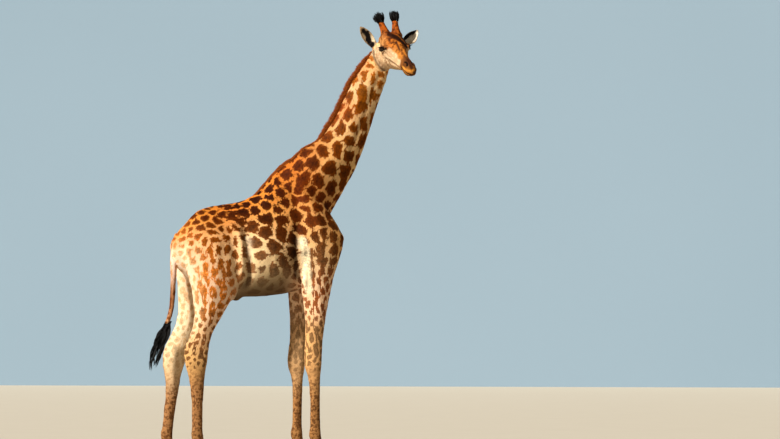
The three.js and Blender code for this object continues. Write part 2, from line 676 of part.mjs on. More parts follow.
// The lower jaw comes away along the line of the mouth.
const MOUTH = { from: 95, fall: THREE.MathUtils.degToRad(4), up: -72 };
function jawRegion(grow) {
  const far = 600;
  const matrix = new THREE.Matrix4()
    .compose(HEAD.at, headTurn, new THREE.Vector3(1, 1, 1))
    .multiply(new THREE.Matrix4().makeTranslation(MOUTH.from - grow, 0, MOUTH.up + grow))
    .multiply(new THREE.Matrix4().makeRotationY(MOUTH.fall))
    .multiply(new THREE.Matrix4().makeTranslation(far / 2, 0, -far / 2));
  return fromGeometry(new THREE.BoxGeometry(far, far, far), matrix);
}
addPiece('head', mainBody(head.subtract(jawRegion(GAP))), materials.coat);
addPiece('lower_jaw', mainBody(head.intersect(jawRegion(0))), materials.pale);

// The origin goes to the floor under the middle of the animal.
const extent = new THREE.Box3().setFromObject(model);
const middle = extent.getCenter(new THREE.Vector3());
model.position.set(-middle.x, -middle.y, -extent.min.z);

export default model;
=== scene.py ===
# A young bull giraffe, life size, standing still with its head turned to its right.
# Lengths in the settings are millimetres on the animal. Meshes are in metres.
import math
import bpy
import numpy as np
from mathutils import Matrix, Vector
from mathutils.bvhtree import BVHTree


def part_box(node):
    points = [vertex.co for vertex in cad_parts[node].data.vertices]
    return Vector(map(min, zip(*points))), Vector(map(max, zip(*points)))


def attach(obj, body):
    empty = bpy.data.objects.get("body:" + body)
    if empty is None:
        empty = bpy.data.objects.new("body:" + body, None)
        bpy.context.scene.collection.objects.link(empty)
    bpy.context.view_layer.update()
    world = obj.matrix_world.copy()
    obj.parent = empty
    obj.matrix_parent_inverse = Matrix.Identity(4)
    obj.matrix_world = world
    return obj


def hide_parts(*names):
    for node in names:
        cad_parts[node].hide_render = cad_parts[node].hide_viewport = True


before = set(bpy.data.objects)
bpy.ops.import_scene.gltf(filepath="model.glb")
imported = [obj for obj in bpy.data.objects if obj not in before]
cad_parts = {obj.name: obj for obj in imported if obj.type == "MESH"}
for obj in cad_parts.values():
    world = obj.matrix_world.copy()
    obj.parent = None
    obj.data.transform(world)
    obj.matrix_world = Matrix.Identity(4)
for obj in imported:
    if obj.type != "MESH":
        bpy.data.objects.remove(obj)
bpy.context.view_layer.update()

# The animal's own frame: it faces +X, its left is +Y, and the trunk's rump is 742 mm behind
# the middle. Moving between it and the scene is a plain shift.
trunkLow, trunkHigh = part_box("trunk")
bodyShift = np.array([trunkLow.x + 0.742, (trunkLow.y + trunkHigh.y) / 2, 0.0])

headPose = dict(at=(1364, -155, 3823), yaw=-86, pitch=32, roll=8)
headTurn = np.array(
    Matrix.Rotation(math.radians(headPose["yaw"]), 3, "Z")
    @ Matrix.Rotation(math.radians(headPose["pitch"]), 3, "Y")
    @ Matrix.Rotation(math.radians(headPose["roll"]), 3, "X")
)


def toScene(points):
    return np.asarray(points, float) / 1000 + bodyShift


def toBody(points):
    return (points - bodyShift) * 1000


def headToBody(points):
    return np.asarray(points, float) @ headTurn.T + np.array(headPose["at"], float)


def bodyToHead(points):
    return (points - np.array(headPose["at"], float)) @ headTurn


def headDirection(direction):
    turned = np.asarray(direction, float) @ headTurn.T
    return turned / np.linalg.norm(turned)


# Small tools for meshes.

def deselectAll():
    if bpy.context.object and bpy.context.object.mode != "OBJECT":
        bpy.ops.object.mode_set(mode="OBJECT")
    bpy.ops.object.select_all(action="DESELECT")


def makeActive(piece):
    deselectAll()
    piece.select_set(True)
    bpy.context.view_layer.objects.active = piece


def applyModifier(piece, kind, **settings):
    makeActive(piece)
    bpy.ops.object.modifier_add(type=kind)
    modifier = piece.modifiers[-1]
    for key, value in settings.items():
        setattr(modifier, key, value)
    bpy.ops.object.modifier_apply(modifier=modifier.name)


def joinPieces(pieces, name):
    deselectAll()
    for piece in pieces:
        piece.select_set(True)
    bpy.context.view_layer.objects.active = pieces[0]
    if len(pieces) > 1:
        bpy.ops.object.join()
    pieces[0].name = name
    return pieces[0]


# A copy of some solids as one mesh, its loose triangles merged, and shrunk by so many metres if
# it is only a core.
def solidCopy(names, label, shrink=0.0):
    copies = []
    for name in names:
        piece = bpy.data.objects.new(label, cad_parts[name].data.copy())
        bpy.context.scene.collection.objects.link(piece)
        copies.append(piece)
    whole = joinPieces(copies, label)
    bpy.ops.object.mode_set(mode="EDIT")
    bpy.ops.mesh.select_all(action="SELECT")
    bpy.ops.mesh.remove_doubles(threshold=0.00001)
    if shrink:
        bpy.ops.transform.shrink_fatten(value=-shrink)
    bpy.ops.object.mode_set(mode="OBJECT")
    whole.data.materials.clear()
    return whole


def readPoints(mesh):
    points = np.empty(len(mesh.vertices) * 3, np.float32)
    mesh.vertices.foreach_get("co", points)
    return points.reshape(-1, 3).astype(float)


def writePoints(mesh, points):
    mesh.vertices.foreach_set("co", points.astype(np.float32).ravel())
    mesh.update()


def readNormals(mesh):
    normals = np.empty(len(mesh.vertices) * 3, np.float32)
    mesh.vertex_normals.foreach_get("vector", normals)
    return normals.reshape(-1, 3).astype(float)


def readEdges(mesh):
    edges = np.empty(len(mesh.edges) * 2, np.int32)
    mesh.edges.foreach_get("vertices", edges)
    return edges.reshape(-1, 2)


# The mean of each vertex's neighbours, for any values held on the vertices.
def neighbourMean(values, edges, count):
    total = np.empty_like(values)
    for k in range(values.shape[1]):
        total[:, k] = np.bincount(edges[:, 0], values[edges[:, 1], k], len(values))
        total[:, k] += np.bincount(edges[:, 1], values[edges[:, 0], k], len(values))
    return total / count[:, None]


# Smooths facets away and gives the volume back: each pull inwards is followed by a push out.
def relax(mesh, rounds, share=None):
    points, edges = readPoints(mesh), readEdges(mesh)
    count = np.maximum(np.bincount(edges.ravel(), minlength=len(points)), 1)
    share = np.ones(len(points)) if share is None else share
    for step in range(rounds * 2):
        amount = 0.6 if step % 2 == 0 else -0.62
        points += amount * share[:, None] * (neighbourMean(points, edges, count) - points)
    writePoints(mesh, points)


# How near each point lies to a bent line: 1 on it, fading over the width.
def nearness(points, path, width):
    path = np.asarray(path, float)
    if len(path) == 1:
        path = np.vstack([path, path + 0.01])
    nearest = np.full(len(points), 1e9)
    for start, end in zip(path[:-1], path[1:]):
        run = end - start
        along = np.clip((points - start) @ run / (run @ run), 0, 1)
        gap = np.linalg.norm(points - start - along[:, None] * run, axis=1)
        nearest = np.minimum(nearest, gap)
    return np.exp(-((nearest / width) ** 2))


def mirrored(path, hand):
    return np.asarray(path, float) * np.array([1, hand, 1])


def easeBetween(low, high, value):
    t = np.clip((value - low) / (high - low), 0, 1)
    return t * t * (3 - 2 * t)


# Smooth made-up noise from a few waves, the same on every run.
def wobble(points, size, seed, waves=7):
    chance = np.random.default_rng(seed)
    total = np.zeros(len(points))
    for k in range(waves):
        direction = chance.normal(size=3)
        direction /= np.linalg.norm(direction)
        reach = size * chance.uniform(0.7, 1.5)
        total += np.sin(points @ direction * 2 * math.pi / reach + chance.uniform(0, 6.28))
    return total / math.sqrt(waves)


def unit(vectors):
    return vectors / np.maximum(np.linalg.norm(vectors, axis=-1, keepdims=True), 1e-9)


# The skin: every piece of flesh as one closed surface.

skinSettings = dict(
    bodyVoxel=0.014,  # voxels are in metres
    headVoxel=0.0048,
    wholeVoxel=0.0055,
    bodyRelax=100,
    headRelax=22,
    bodyFaces=104000,
    headCutHeight=3560,
)
legNames = [f"leg_{end}_{side}_{part}" for end in ("front", "hind")
            for side in ("left", "right") for part in ("upper", "lower")]
headNames = ["head", "lower_jaw", "ear_left", "ear_right", "ossicone_left", "ossicone_right"]
fleshNames = ["trunk", "neck", "tail"] + legNames + headNames


def makeSkin():
    rough = joinPieces(
        [solidCopy(["trunk", "neck"] + legNames, "skin"),
         solidCopy(["head"], "headCore", 0.012)], "skin")
    applyModifier(rough, "REMESH", mode="VOXEL", voxel_size=skinSettings["bodyVoxel"])
    relax(rough.data, skinSettings["bodyRelax"])

    neckCore = solidCopy(["neck"], "neckCore", 0.006)
    makeActive(neckCore)
    bpy.ops.object.mode_set(mode="EDIT")
    bpy.ops.mesh.select_all(action="SELECT")
    bpy.ops.mesh.bisect(plane_co=toScene((0, 0, skinSettings["headCutHeight"])),
                        plane_no=(0, 0, 1), use_fill=True, clear_inner=True)
    bpy.ops.object.mode_set(mode="OBJECT")
    fine = joinPieces([solidCopy(headNames[:2] + headNames[4:], "fine"),
                       solidCopy(["ear_left", "ear_right"], "ears", -0.0012),
                       solidCopy(["tail"], "tailCore", -0.009), neckCore], "fine")
    applyModifier(fine, "REMESH", mode="VOXEL", voxel_size=skinSettings["headVoxel"])
    relax(fine.data, skinSettings["headRelax"])

    skin = joinPieces([rough, fine], "skin")
    applyModifier(skin, "REMESH", mode="VOXEL", voxel_size=skinSettings["wholeVoxel"])
    relax(skin.data, 5)
    print("skin remeshed:", len(skin.data.polygons))
    return skin


# Which solid each vertex of the skin belongs to.
def readParts(points):
    corners, faces, owners = [], [], []
    for number, name in enumerate(fleshNames):
        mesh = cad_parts[name].data
        start = len(corners)
        corners.extend(v.co.copy() for v in mesh.vertices)
        for face in mesh.polygons:
            faces.append([start + v for v in face.vertices])
            owners.append(number)
    tree = BVHTree.FromPolygons(corners, faces)
    return np.array([owners[tree.find_nearest(Vector(p))[2]] for p in points])


def selectFaces(mesh, chosen):
    mesh.vertices.foreach_set("select", np.zeros(len(mesh.vertices), bool))
    mesh.edges.foreach_set("select", np.zeros(len(mesh.edges), bool))
    mesh.polygons.foreach_set("select", chosen)


def faceCentres(mesh):
    centres = np.empty(len(mesh.polygons) * 3, np.float32)
    mesh.polygons.foreach_get("center", centres)
    return centres.reshape(-1, 3).astype(float)


# How far each vertex belongs to the head, softened over the join with the neck.
def headShare(mesh, parts):
    share = np.isin(parts, [fleshNames.index(name) for name in headNames]).astype(float)[:, None]
    edges = readEdges(mesh)
    count = np.maximum(np.bincount(edges.ravel(), minlength=len(share)), 1)
    for step in range(14):
        share = share * 0.4 + neighbourMean(share, edges, count) * 0.6
    return share[:, 0]


def thinBody(skin):
    mesh = skin.data
    makeActive(skin)
    reach = np.linalg.norm(bodyToHead(toBody(faceCentres(mesh))) - np.array([60, 0, -40]), axis=1)
    body = reach > 385
    bpy.ops.object.mode_set(mode="EDIT")
    bpy.ops.mesh.select_mode(type="FACE")
    bpy.ops.mesh.select_all(action="DESELECT")
    bpy.ops.object.mode_set(mode="OBJECT")
    selectFaces(mesh, body)
    bpy.ops.object.mode_set(mode="EDIT")
    triangles = body.sum() * 2
    bpy.ops.mesh.decimate(ratio=min(1.0, skinSettings["bodyFaces"] / triangles))
    bpy.ops.mesh.select_all(action="SELECT")
    bpy.ops.mesh.quads_convert_to_tris(quad_method="BEAUTY", ngon_method="BEAUTY")
    bpy.ops.object.mode_set(mode="OBJECT")
    print("skin thinned:", len(mesh.polygons))


# Splits the faces near some points of the head, where folds are finest.
def refineNear(skin, spots):
    mesh = skin.data
    head = bodyToHead(toBody(faceCentres(mesh)))
    chosen = np.zeros(len(head), bool)
    for place, radius in spots:
        chosen |= np.linalg.norm(head - np.array(place, float), axis=1) < radius
    makeActive(skin)
    selectFaces(mesh, chosen)
    bpy.ops.object.mode_set(mode="EDIT")
    bpy.ops.mesh.subdivide(number_cuts=1)
    bpy.ops.mesh.select_all(action="SELECT")
    bpy.ops.mesh.quads_convert_to_tris(quad_method="BEAUTY", ngon_method="BEAUTY")
    bpy.ops.object.mode_set(mode="OBJECT")


eyeSettings = dict(
    at=(-24, 121, -2),  # middle of the left eyeball in the head's frame
    radius=34,
    looks=(0.58, 0.79, 0.14),
    halfWidth=76,  # of the opening, in degrees round the ball
    upper=36,
    lower=27,
    lift=-2,
    tilt=0.34,  # the front corner stands higher than the back one
    lidThickness=3.0,
    lidGap=1.6,  # between the ball and the skin round it
)

# Folds and bones of the head, as raised or sunk lines in the head's frame. Heights and widths
# are in mm. A line lies on both sides unless it names one or runs down the middle.
headFolds = [
    dict(name="brow", path=[(-78, 122, 22), (-40, 138, 36), (8, 130, 42), (50, 106, 34)],
         width=13, height=11),
    dict(name="zygoma", path=[(-120, 122, -36), (-58, 140, -52), (20, 128, -54),
                              (88, 100, -54), (160, 78, -58), (228, 62, -60)],
         width=14, height=7),
    dict(name="underEye", path=[(-62, 136, -40), (-20, 146, -46), (32, 126, -34)], width=6, height=-4),
    dict(name="templeHollow", path=[(-112, 104, 50), (-78, 116, 44)], width=20, height=-5),
    dict(name="crownSide", path=[(-128, 90, 60), (-162, 100, 34)], width=30, height=15),
    dict(name="cheek", path=[(-60, 122, -118), (-20, 116, -150)], width=46, height=10),
    dict(name="cheekEdge", path=[(40, 104, -84), (66, 92, -124), (64, 76, -172)], width=13, height=-8),
    dict(name="faceHollow", path=[(100, 84, -92), (180, 66, -94), (240, 58, -84)], width=20, height=-8),
    dict(name="tearTrack", path=[(44, 118, 8), (84, 96, -8), (130, 80, -22)], width=8, height=-4),
    dict(name="jawLower", path=[(20, 70, -206), (120, 52, -182), (220, 44, -142), (300, 38, -112)],
         width=15, height=6),
    dict(name="jawCrease", path=[(-112, 172, -66), (-50, 190, -103), (8, 176, -151),
                                 (32, 146, -179), (40, 112, -204)],
         width=11, height=-17, hand=-1),
    dict(name="jawRim", path=[(-100, 156, -58), (-48, 176, -92), (10, 161, -140),
                              (34, 131, -168), (42, 98, -192)],
         width=13, height=10, hand=-1),
    dict(name="throatFold", path=[(-60, 215, -126), (0, 205, -176), (24, 176, -206), (30, 140, -230)],
         width=9, height=-8, hand=-1),
    dict(name="throatRoll", path=[(-56, 202, -112), (4, 192, -164), (28, 160, -192), (36, 126, -218)],
         width=9, height=6, hand=-1),
    dict(name="farJawCrease", path=[(-190, 96, -70), (-170, 104, -120),
                                    (-140, 98, -172), (-92, 76, -216)],
         width=8, height=-9, hand=1),
    dict(name="mouthLine", path=[(446, 0, -60), (435, 33, -50), (396, 57, -41),
                                 (352, 61, -40), (316, 58, -42), (282, 56, -47)],
         width=4.8, height=-9),
    dict(name="upperLip", path=[(442, 0, -46), (428, 34, -38), (390, 57, -28), (345, 62, -24)],
         width=10, height=5),
    dict(name="lowerLip", path=[(434, 0, -78), (416, 32, -70), (384, 50, -62), (340, 58, -54)],
         width=8, height=4),
    dict(name="mouthCorner", path=[(308, 60, -36), (300, 62, -46)], width=9, height=4),
    dict(name="nostril", path=[(320, 36, 13), (334, 29, 20), (352, 24, 20), (372, 27, 13), (380, 34, 4)],
         width=6, height=-15),
    dict(name="nostrilTop", path=[(322, 20, 30), (352, 14, 32), (384, 12, 24)], width=10, height=6),
    dict(name="nostrilWing", path=[(330, 52, 0), (356, 46, 6), (386, 40, -4)], width=10, height=7),
    dict(name="noseGroove", path=[(440, 0, -30), (420, 0, 4), (396, 0, 20)], width=8, height=-3),
    dict(name="chin", path=[(424, 8, -90), (380, 14, -102), (330, 16, -108)], width=28, height=-12),
    dict(name="earFold", path=[(-128, 116, 10), (-140, 124, -40), (-150, 120, -80)], width=9, height=-8),
    dict(name="hornStalk", path=[(-150, 52, 88), (-262, 80, 214)], width=44, height=8),
    dict(name="hornRoot", path=[(-96, 44, 108), (-70, 40, 112)], width=22, height=5),
    dict(name="bridge", path=[(60, 40, 82), (140, 34, 66), (230, 26, 46), (300, 20, 38)],
         width=12, height=4),
    dict(name="bridgeDip", path=[(100, 0, 80), (230, 0, 52)], width=14, height=-4),
    dict(name="crown", path=[(30, 0, 92), (76, 0, 84)], width=38, height=9),
    dict(name="faceVein", path=[(74, 94, -74), (124, 82, -100), (196, 66, -106)], width=4, height=2.4),
    dict(name="faceVeinTwo", path=[(110, 80, -20), (170, 68, -44), (236, 58, -56)], width=4, height=2.0),
]

# Muscles, tendons and folds of the body and legs, in the body's frame, near side and far side.
# Where a fold gives a dark share, the coat along its crease is darkened by that share as painted shade.
bodyFolds = [
    dict(name="scapulaSpine", path=[(452, 150, 2540), (520, 222, 2330), (590, 262, 2130)],
         width=34, height=9),
    dict(name="scapulaFront", path=[(560, 170, 2520), (640, 205, 2320), (700, 200, 2150)],
         width=40, height=-9),
    dict(name="scapulaBack", path=[(330, 215, 2480), (372, 262, 2280), (392, 275, 2080)],
         width=40, height=-9),
    dict(name="shoulderPoint", path=[(742, 170, 2010), (712, 196, 1960)], width=62, height=9),
    dict(name="triceps", path=[(446, 246, 2080), (452, 250, 1900), (474, 238, 1740)],
         width=44, height=16),
    dict(name="elbow", path=[(446, 226, 1640), (452, 224, 1600)], width=30, height=18),
    dict(name="elbowNotch", path=[(480, 230, 1690), (486, 226, 1630), (470, 222, 1572)],
         width=10, height=-9, dark=0.6),
    dict(name="elbowFold", path=[(392, 216, 2140), (380, 230, 1990), (374, 242, 1860),
                                 (392, 200, 1690), (410, 170, 1600)],
         width=26, height=-34, dark=0.75),
    dict(name="behindShoulder", path=[(350, 240, 2040), (340, 250, 1860), (352, 220, 1700)],
         width=52, height=-10, dark=0.35),
    dict(name="armFold", path=[(560, 262, 1700), (600, 250, 1600), (618, 236, 1480)],
         width=18, height=-6),
    dict(name="forearm", path=[(610, 246, 1560), (604, 236, 1380), (596, 226, 1220)],
         width=34, height=6),
    dict(name="breast", path=[(838, 40, 2060), (800, 60, 1900)], width=58, height=8),
    dict(name="breastFold", path=[(842, 0, 2150), (836, 0, 2000), (800, 0, 1860), (740, 0, 1740)],
         width=20, height=-12, dark=0.3),
    dict(name="hipBone", path=[(-196, 196, 2196), (-222, 206, 2150)], width=44, height=15),
    dict(name="loinHollow", path=[(-108, 214, 2176), (-70, 236, 2060)], width=62, height=-13),
    dict(name="thighFront", path=[(-184, 236, 2090), (-160, 246, 1960), (-150, 256, 1800),
                                  (-146, 234, 1660), (-176, 200, 1560), (-230, 190, 1480)],
         width=26, height=26),
    dict(name="flankFold", path=[(-124, 224, 2080), (-98, 244, 1960), (-84, 258, 1800),
                                 (-78, 228, 1660), (-104, 170, 1560)],
         width=32, height=-40, dark=0.5),
    dict(name="flankWeb", path=[(-118, 232, 1690), (-140, 200, 1580), (-196, 176, 1500)],
         width=10, height=8),
    dict(name="haunchGroove", path=[(-560, 206, 2120), (-592, 204, 1930),
                                    (-600, 190, 1740), (-590, 170, 1560)],
         width=30, height=-7),
    dict(name="thighGroove", path=[(-330, 250, 1930), (-380, 244, 1740), (-430, 214, 1540)],
         width=34, height=-5),
    dict(name="seatBone", path=[(-712, 96, 1985), (-722, 92, 1940)], width=42, height=12),
    dict(name="ribTwo", path=[(250, 262, 2100), (212, 292, 1900), (236, 262, 1680)],
         width=18, height=3.5),
    dict(name="ribThree", path=[(176, 262, 2110), (140, 296, 1900), (168, 262, 1670)],
         width=18, height=3.5),
    dict(name="ribFour", path=[(102, 262, 2110), (66, 290, 1900), (96, 262, 1680)], width=18, height=3),
    dict(name="gaskinGroove", path=[(-470, 176, 1420), (-560, 190, 1240), (-640, 176, 1080)],
         width=18, height=-7, dark=0.3),
    dict(name="achilles", path=[(-640, 172, 1260), (-694, 172, 1120), (-716, 172, 1010)],
         width=22, height=8, hand=-1),
    dict(name="spine", path=[(-560, 0, 2226), (-300, 0, 2330), (0, 0, 2420)], width=26, height=7),
    dict(name="bellyLine", path=[(260, 244, 1600), (100, 262, 1570), (-60, 246, 1560)],
         width=44, height=5),
    dict(name="throatGroove", path=[(1226, 84, 3560), (1128, 92, 3320),
                                    (1040, 112, 3080), (930, 140, 2820)],
         width=26, height=-7),
    dict(name="windpipe", path=[(1296, 46, 3560), (1222, 56, 3340), (1132, 66, 3080), (1050, 84, 2850)],
         width=30, height=8),
    dict(name="neckCord", path=[(1180, 66, 3620), (1060, 78, 3380), (934, 98, 3130), (760, 128, 2880)],
         width=30, height=6),
]


# The way an eye looks: out to its side and a little forward.
def eyeFrame(hand):
    centre = np.array(eyeSettings["at"], float) * np.array([1, hand, 1])
    out = unit(np.array(eyeSettings["looks"], float) * np.array([1, hand, 1]))
    along = unit(np.array([1.0, 0, 0]) - out * out[0])
    rise = np.cross(along, out) * hand
    return centre, out, along, rise


# The lid's edge in mm past each point round the ball, inside the opening where it is positive.
def lidEdge(offset, out, along, rise):
    facing = np.maximum(offset @ out, 1e-6)
    across = np.degrees(np.arctan2(offset @ along, facing))
    height = np.degrees(np.arctan2(offset @ rise, facing))
    height = height - eyeSettings["lift"] - across * eyeSettings["tilt"]
    bow = np.clip(1 - (np.abs(across) / eyeSettings["halfWidth"]) ** 2.1, -0.6, 1)
    limit = np.where(height > 0, eyeSettings["upper"], eyeSettings["lower"]) * bow
    past = np.maximum(np.abs(across) - eyeSettings["halfWidth"], 0) * 1.3
    far = np.maximum(np.linalg.norm(offset, axis=1) - eyeSettings["radius"] - 7, 0) * 1.4
    return (limit - np.abs(height) - past) * eyeSettings["radius"] * math.pi / 180 - far


# The skin runs over a closed ball and is pushed in behind the opening, with a lid round it.
def shapeLids(head, hand):
    centre, out, along, rise = eyeFrame(hand)
    offset = head - centre
    reach = np.linalg.norm(offset, axis=1)
    near = (reach < 78) & (offset @ out > -10)
    inside = lidEdge(offset, out, along, rise)
    outer = np.clip(-inside, 0, 40)
    closest = eyeSettings["radius"] + eyeSettings["lidGap"]
    lidReach = closest + eyeSettings["lidThickness"] * np.exp(-((outer - 4) / 4) ** 2)
    blend = easeBetween(5, 20, outer)
    target = np.where(inside > 0, eyeSettings["radius"] - 6 * easeBetween(0, 1.6, inside),
                      lidReach * (1 - blend) + reach * blend)
    target -= 1.6 * np.exp(-((outer - 9) / 1.8) ** 2) * (inside < 0)
    target = np.where(inside > 0, target, np.maximum(target, closest))
    moved = centre + offset * (target / np.maximum(reach, 1e-6))[:, None]
    return np.where(near[:, None], moved, head)


# The inside of an ear: the down part of the hollow is painted dark as shade, with pale hair over
# the rest. The right ear's lining is painted darker as shade and the left one's paler as light.
# Along, out and up place its foot in the head's frame. Axis (to the tip), mouth (where it opens)
# and shift are in the body's frame. The hollow is a path of (share of the ear's length, mm across it).
earSettings = dict(
    length=232, along=-168, out=134, up=-36,
    right=dict(axis=(-0.56, 0.19, 0.81), mouth=(-0.29, -0.96, 0), shift=(-12, 0, -9),
               width=27, lining="#ae9572",
               hollow=[(0.76, 2), (0.62, 15), (0.5, 8), (0.38, -10), (0.24, -14), (0.12, -8)]),
    left=dict(axis=(0.78, 0.22, 0.66), mouth=(-0.23, -0.77, 0.4), shift=(8, 0, -2),
              width=13, lining="#fcecd2",
              hollow=[(0.88, -12), (0.7, -24), (0.48, -36), (0.3, -33), (0.12, -18)]),
)


def earFrame(side):
    hand = 1 if side == "left" else -1
    aim = earSettings[side]
    axis = unit(np.array(aim["axis"]))
    across = unit(np.cross(axis, np.array(aim["mouth"])))
    mouth = np.cross(across, axis)
    foot = (earSettings["along"], hand * earSettings["out"], earSettings["up"])
    base = headToBody(foot) + np.array(aim["shift"])
    return base, axis, across, mouth


# The horns lean a little to the animal's right, as the way each one points in the head's frame.
hornFoot = (-138, 49, 72)
hornLength = 198
hornLean = dict(left=(-0.82, 0.1, 0.9), right=(-0.82, -0.3, 0.9))


def leanHorns(head):
    for hand, side in ((1, "left"), (-1, "right")):
        foot = np.array(hornFoot, float) * np.array([1, hand, 1])
        straight, lean = unit(np.array([-0.82, 0.2 * hand, 0.9])), unit(np.array(hornLean[side]))
        along = np.clip((head - foot) @ straight, 0, hornLength * 1.1)
        away = np.linalg.norm(head - foot - np.outer(along, straight), axis=1)
        head = head + np.outer(along * (1 - easeBetween(34, 60, away)), lean - straight)
    return head


# A fold lies on both sides unless it names one or runs down the middle.
def foldSides(fold):
    if "hand" in fold:
        return (fold["hand"],)
    return (1, -1) if max(p[1] for p in fold["path"]) > 0 else (1,)


def shapeSkin(skin, parts, share):
    mesh = skin.data
    points, normals = readPoints(mesh), readNormals(mesh)
    body = unfolded = toBody(points)
    head = bodyToHead(body)
    onHead = np.linalg.norm(head, axis=1) < 620
    move = np.zeros(len(points))
    for fold in headFolds:
        for hand in foldSides(fold):
            path = mirrored(fold["path"], hand)
            move[onHead] += fold["height"] * nearness(head[onHead], path, fold["width"])
    low = share < 1
    for fold in bodyFolds:
        for hand in foldSides(fold):
            path = mirrored(fold["path"], hand)
            move[low] += fold["height"] * nearness(body[low], path, fold["width"])
    # loose skin: faint rolls at the throat, and a soft unevenness that no real hide lacks
    along = body @ unit(np.array([0.5, 0, 0.86]))
    throat = np.exp(-((body[:, 2] - 3560) / 150) ** 2) * (1 - share)
    move += throat * 2.2 * np.sin(along / 13 + wobble(body, 160, 5) * 0.8)
    move += low * (wobble(body, 190, 11) * 1.6 + wobble(body, 70, 12) * 0.7) * (1 - share)
    points += normals * (move / 1000)[:, None]

    # the lobe of the far ear hangs lower than its plain blade
    base, axis, across, mouth = earFrame("left")
    along, over = (body - base) @ axis / earSettings["length"], (body - base) @ across
    lobe = (parts == fleshNames.index("ear_left")) * np.exp(-((along - 0.42) / 0.24) ** 2)
    lobe = lobe * np.clip(over, 0, 60) * 0.38
    points += lobe[:, None] * across / 1000

    # the coat's depth is taken off, so that the hair ends where the solids do
    tall = body[:, 2]
    depth = 2.4 + 2.6 * easeBetween(700, 1500, tall)
    depth = depth * (1 - share) + share * 2.2
    ears = np.isin(parts, [fleshNames.index("ear_left"), fleshNames.index("ear_right")])
    depth = np.where(ears, 1.2, depth)
    points -= normals * (depth / 1000)[:, None]
    points[:, 2] = np.maximum(points[:, 2], 0.03)
    writePoints(mesh, points)
    body = toBody(readPoints(mesh))
    head = bodyToHead(body)
    head = leanHorns(head)
    for hand in (1, -1):
        head = shapeLids(head, hand)
    writePoints(mesh, toScene(headToBody(head)))
    print("skin shaped")
    return unfolded


skin = makeSkin()
thinBody(skin)
eyeSpots = [((20, hand * 134, 8), 50) for hand in (1, -1)]
muzzleSpots = [((385, hand * 44, -12), 34) for hand in (1, -1)] + [((425, 0, -76), 40)]
refineNear(skin, eyeSpots + muzzleSpots)
parts = readParts(readPoints(skin.data))
share = headShare(skin.data, parts)
unfolded = shapeSkin(skin, parts, share)

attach(skin, "root")
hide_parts(*fleshNames)


# The markings: seeds spread over the skin, each the middle of one brown patch.

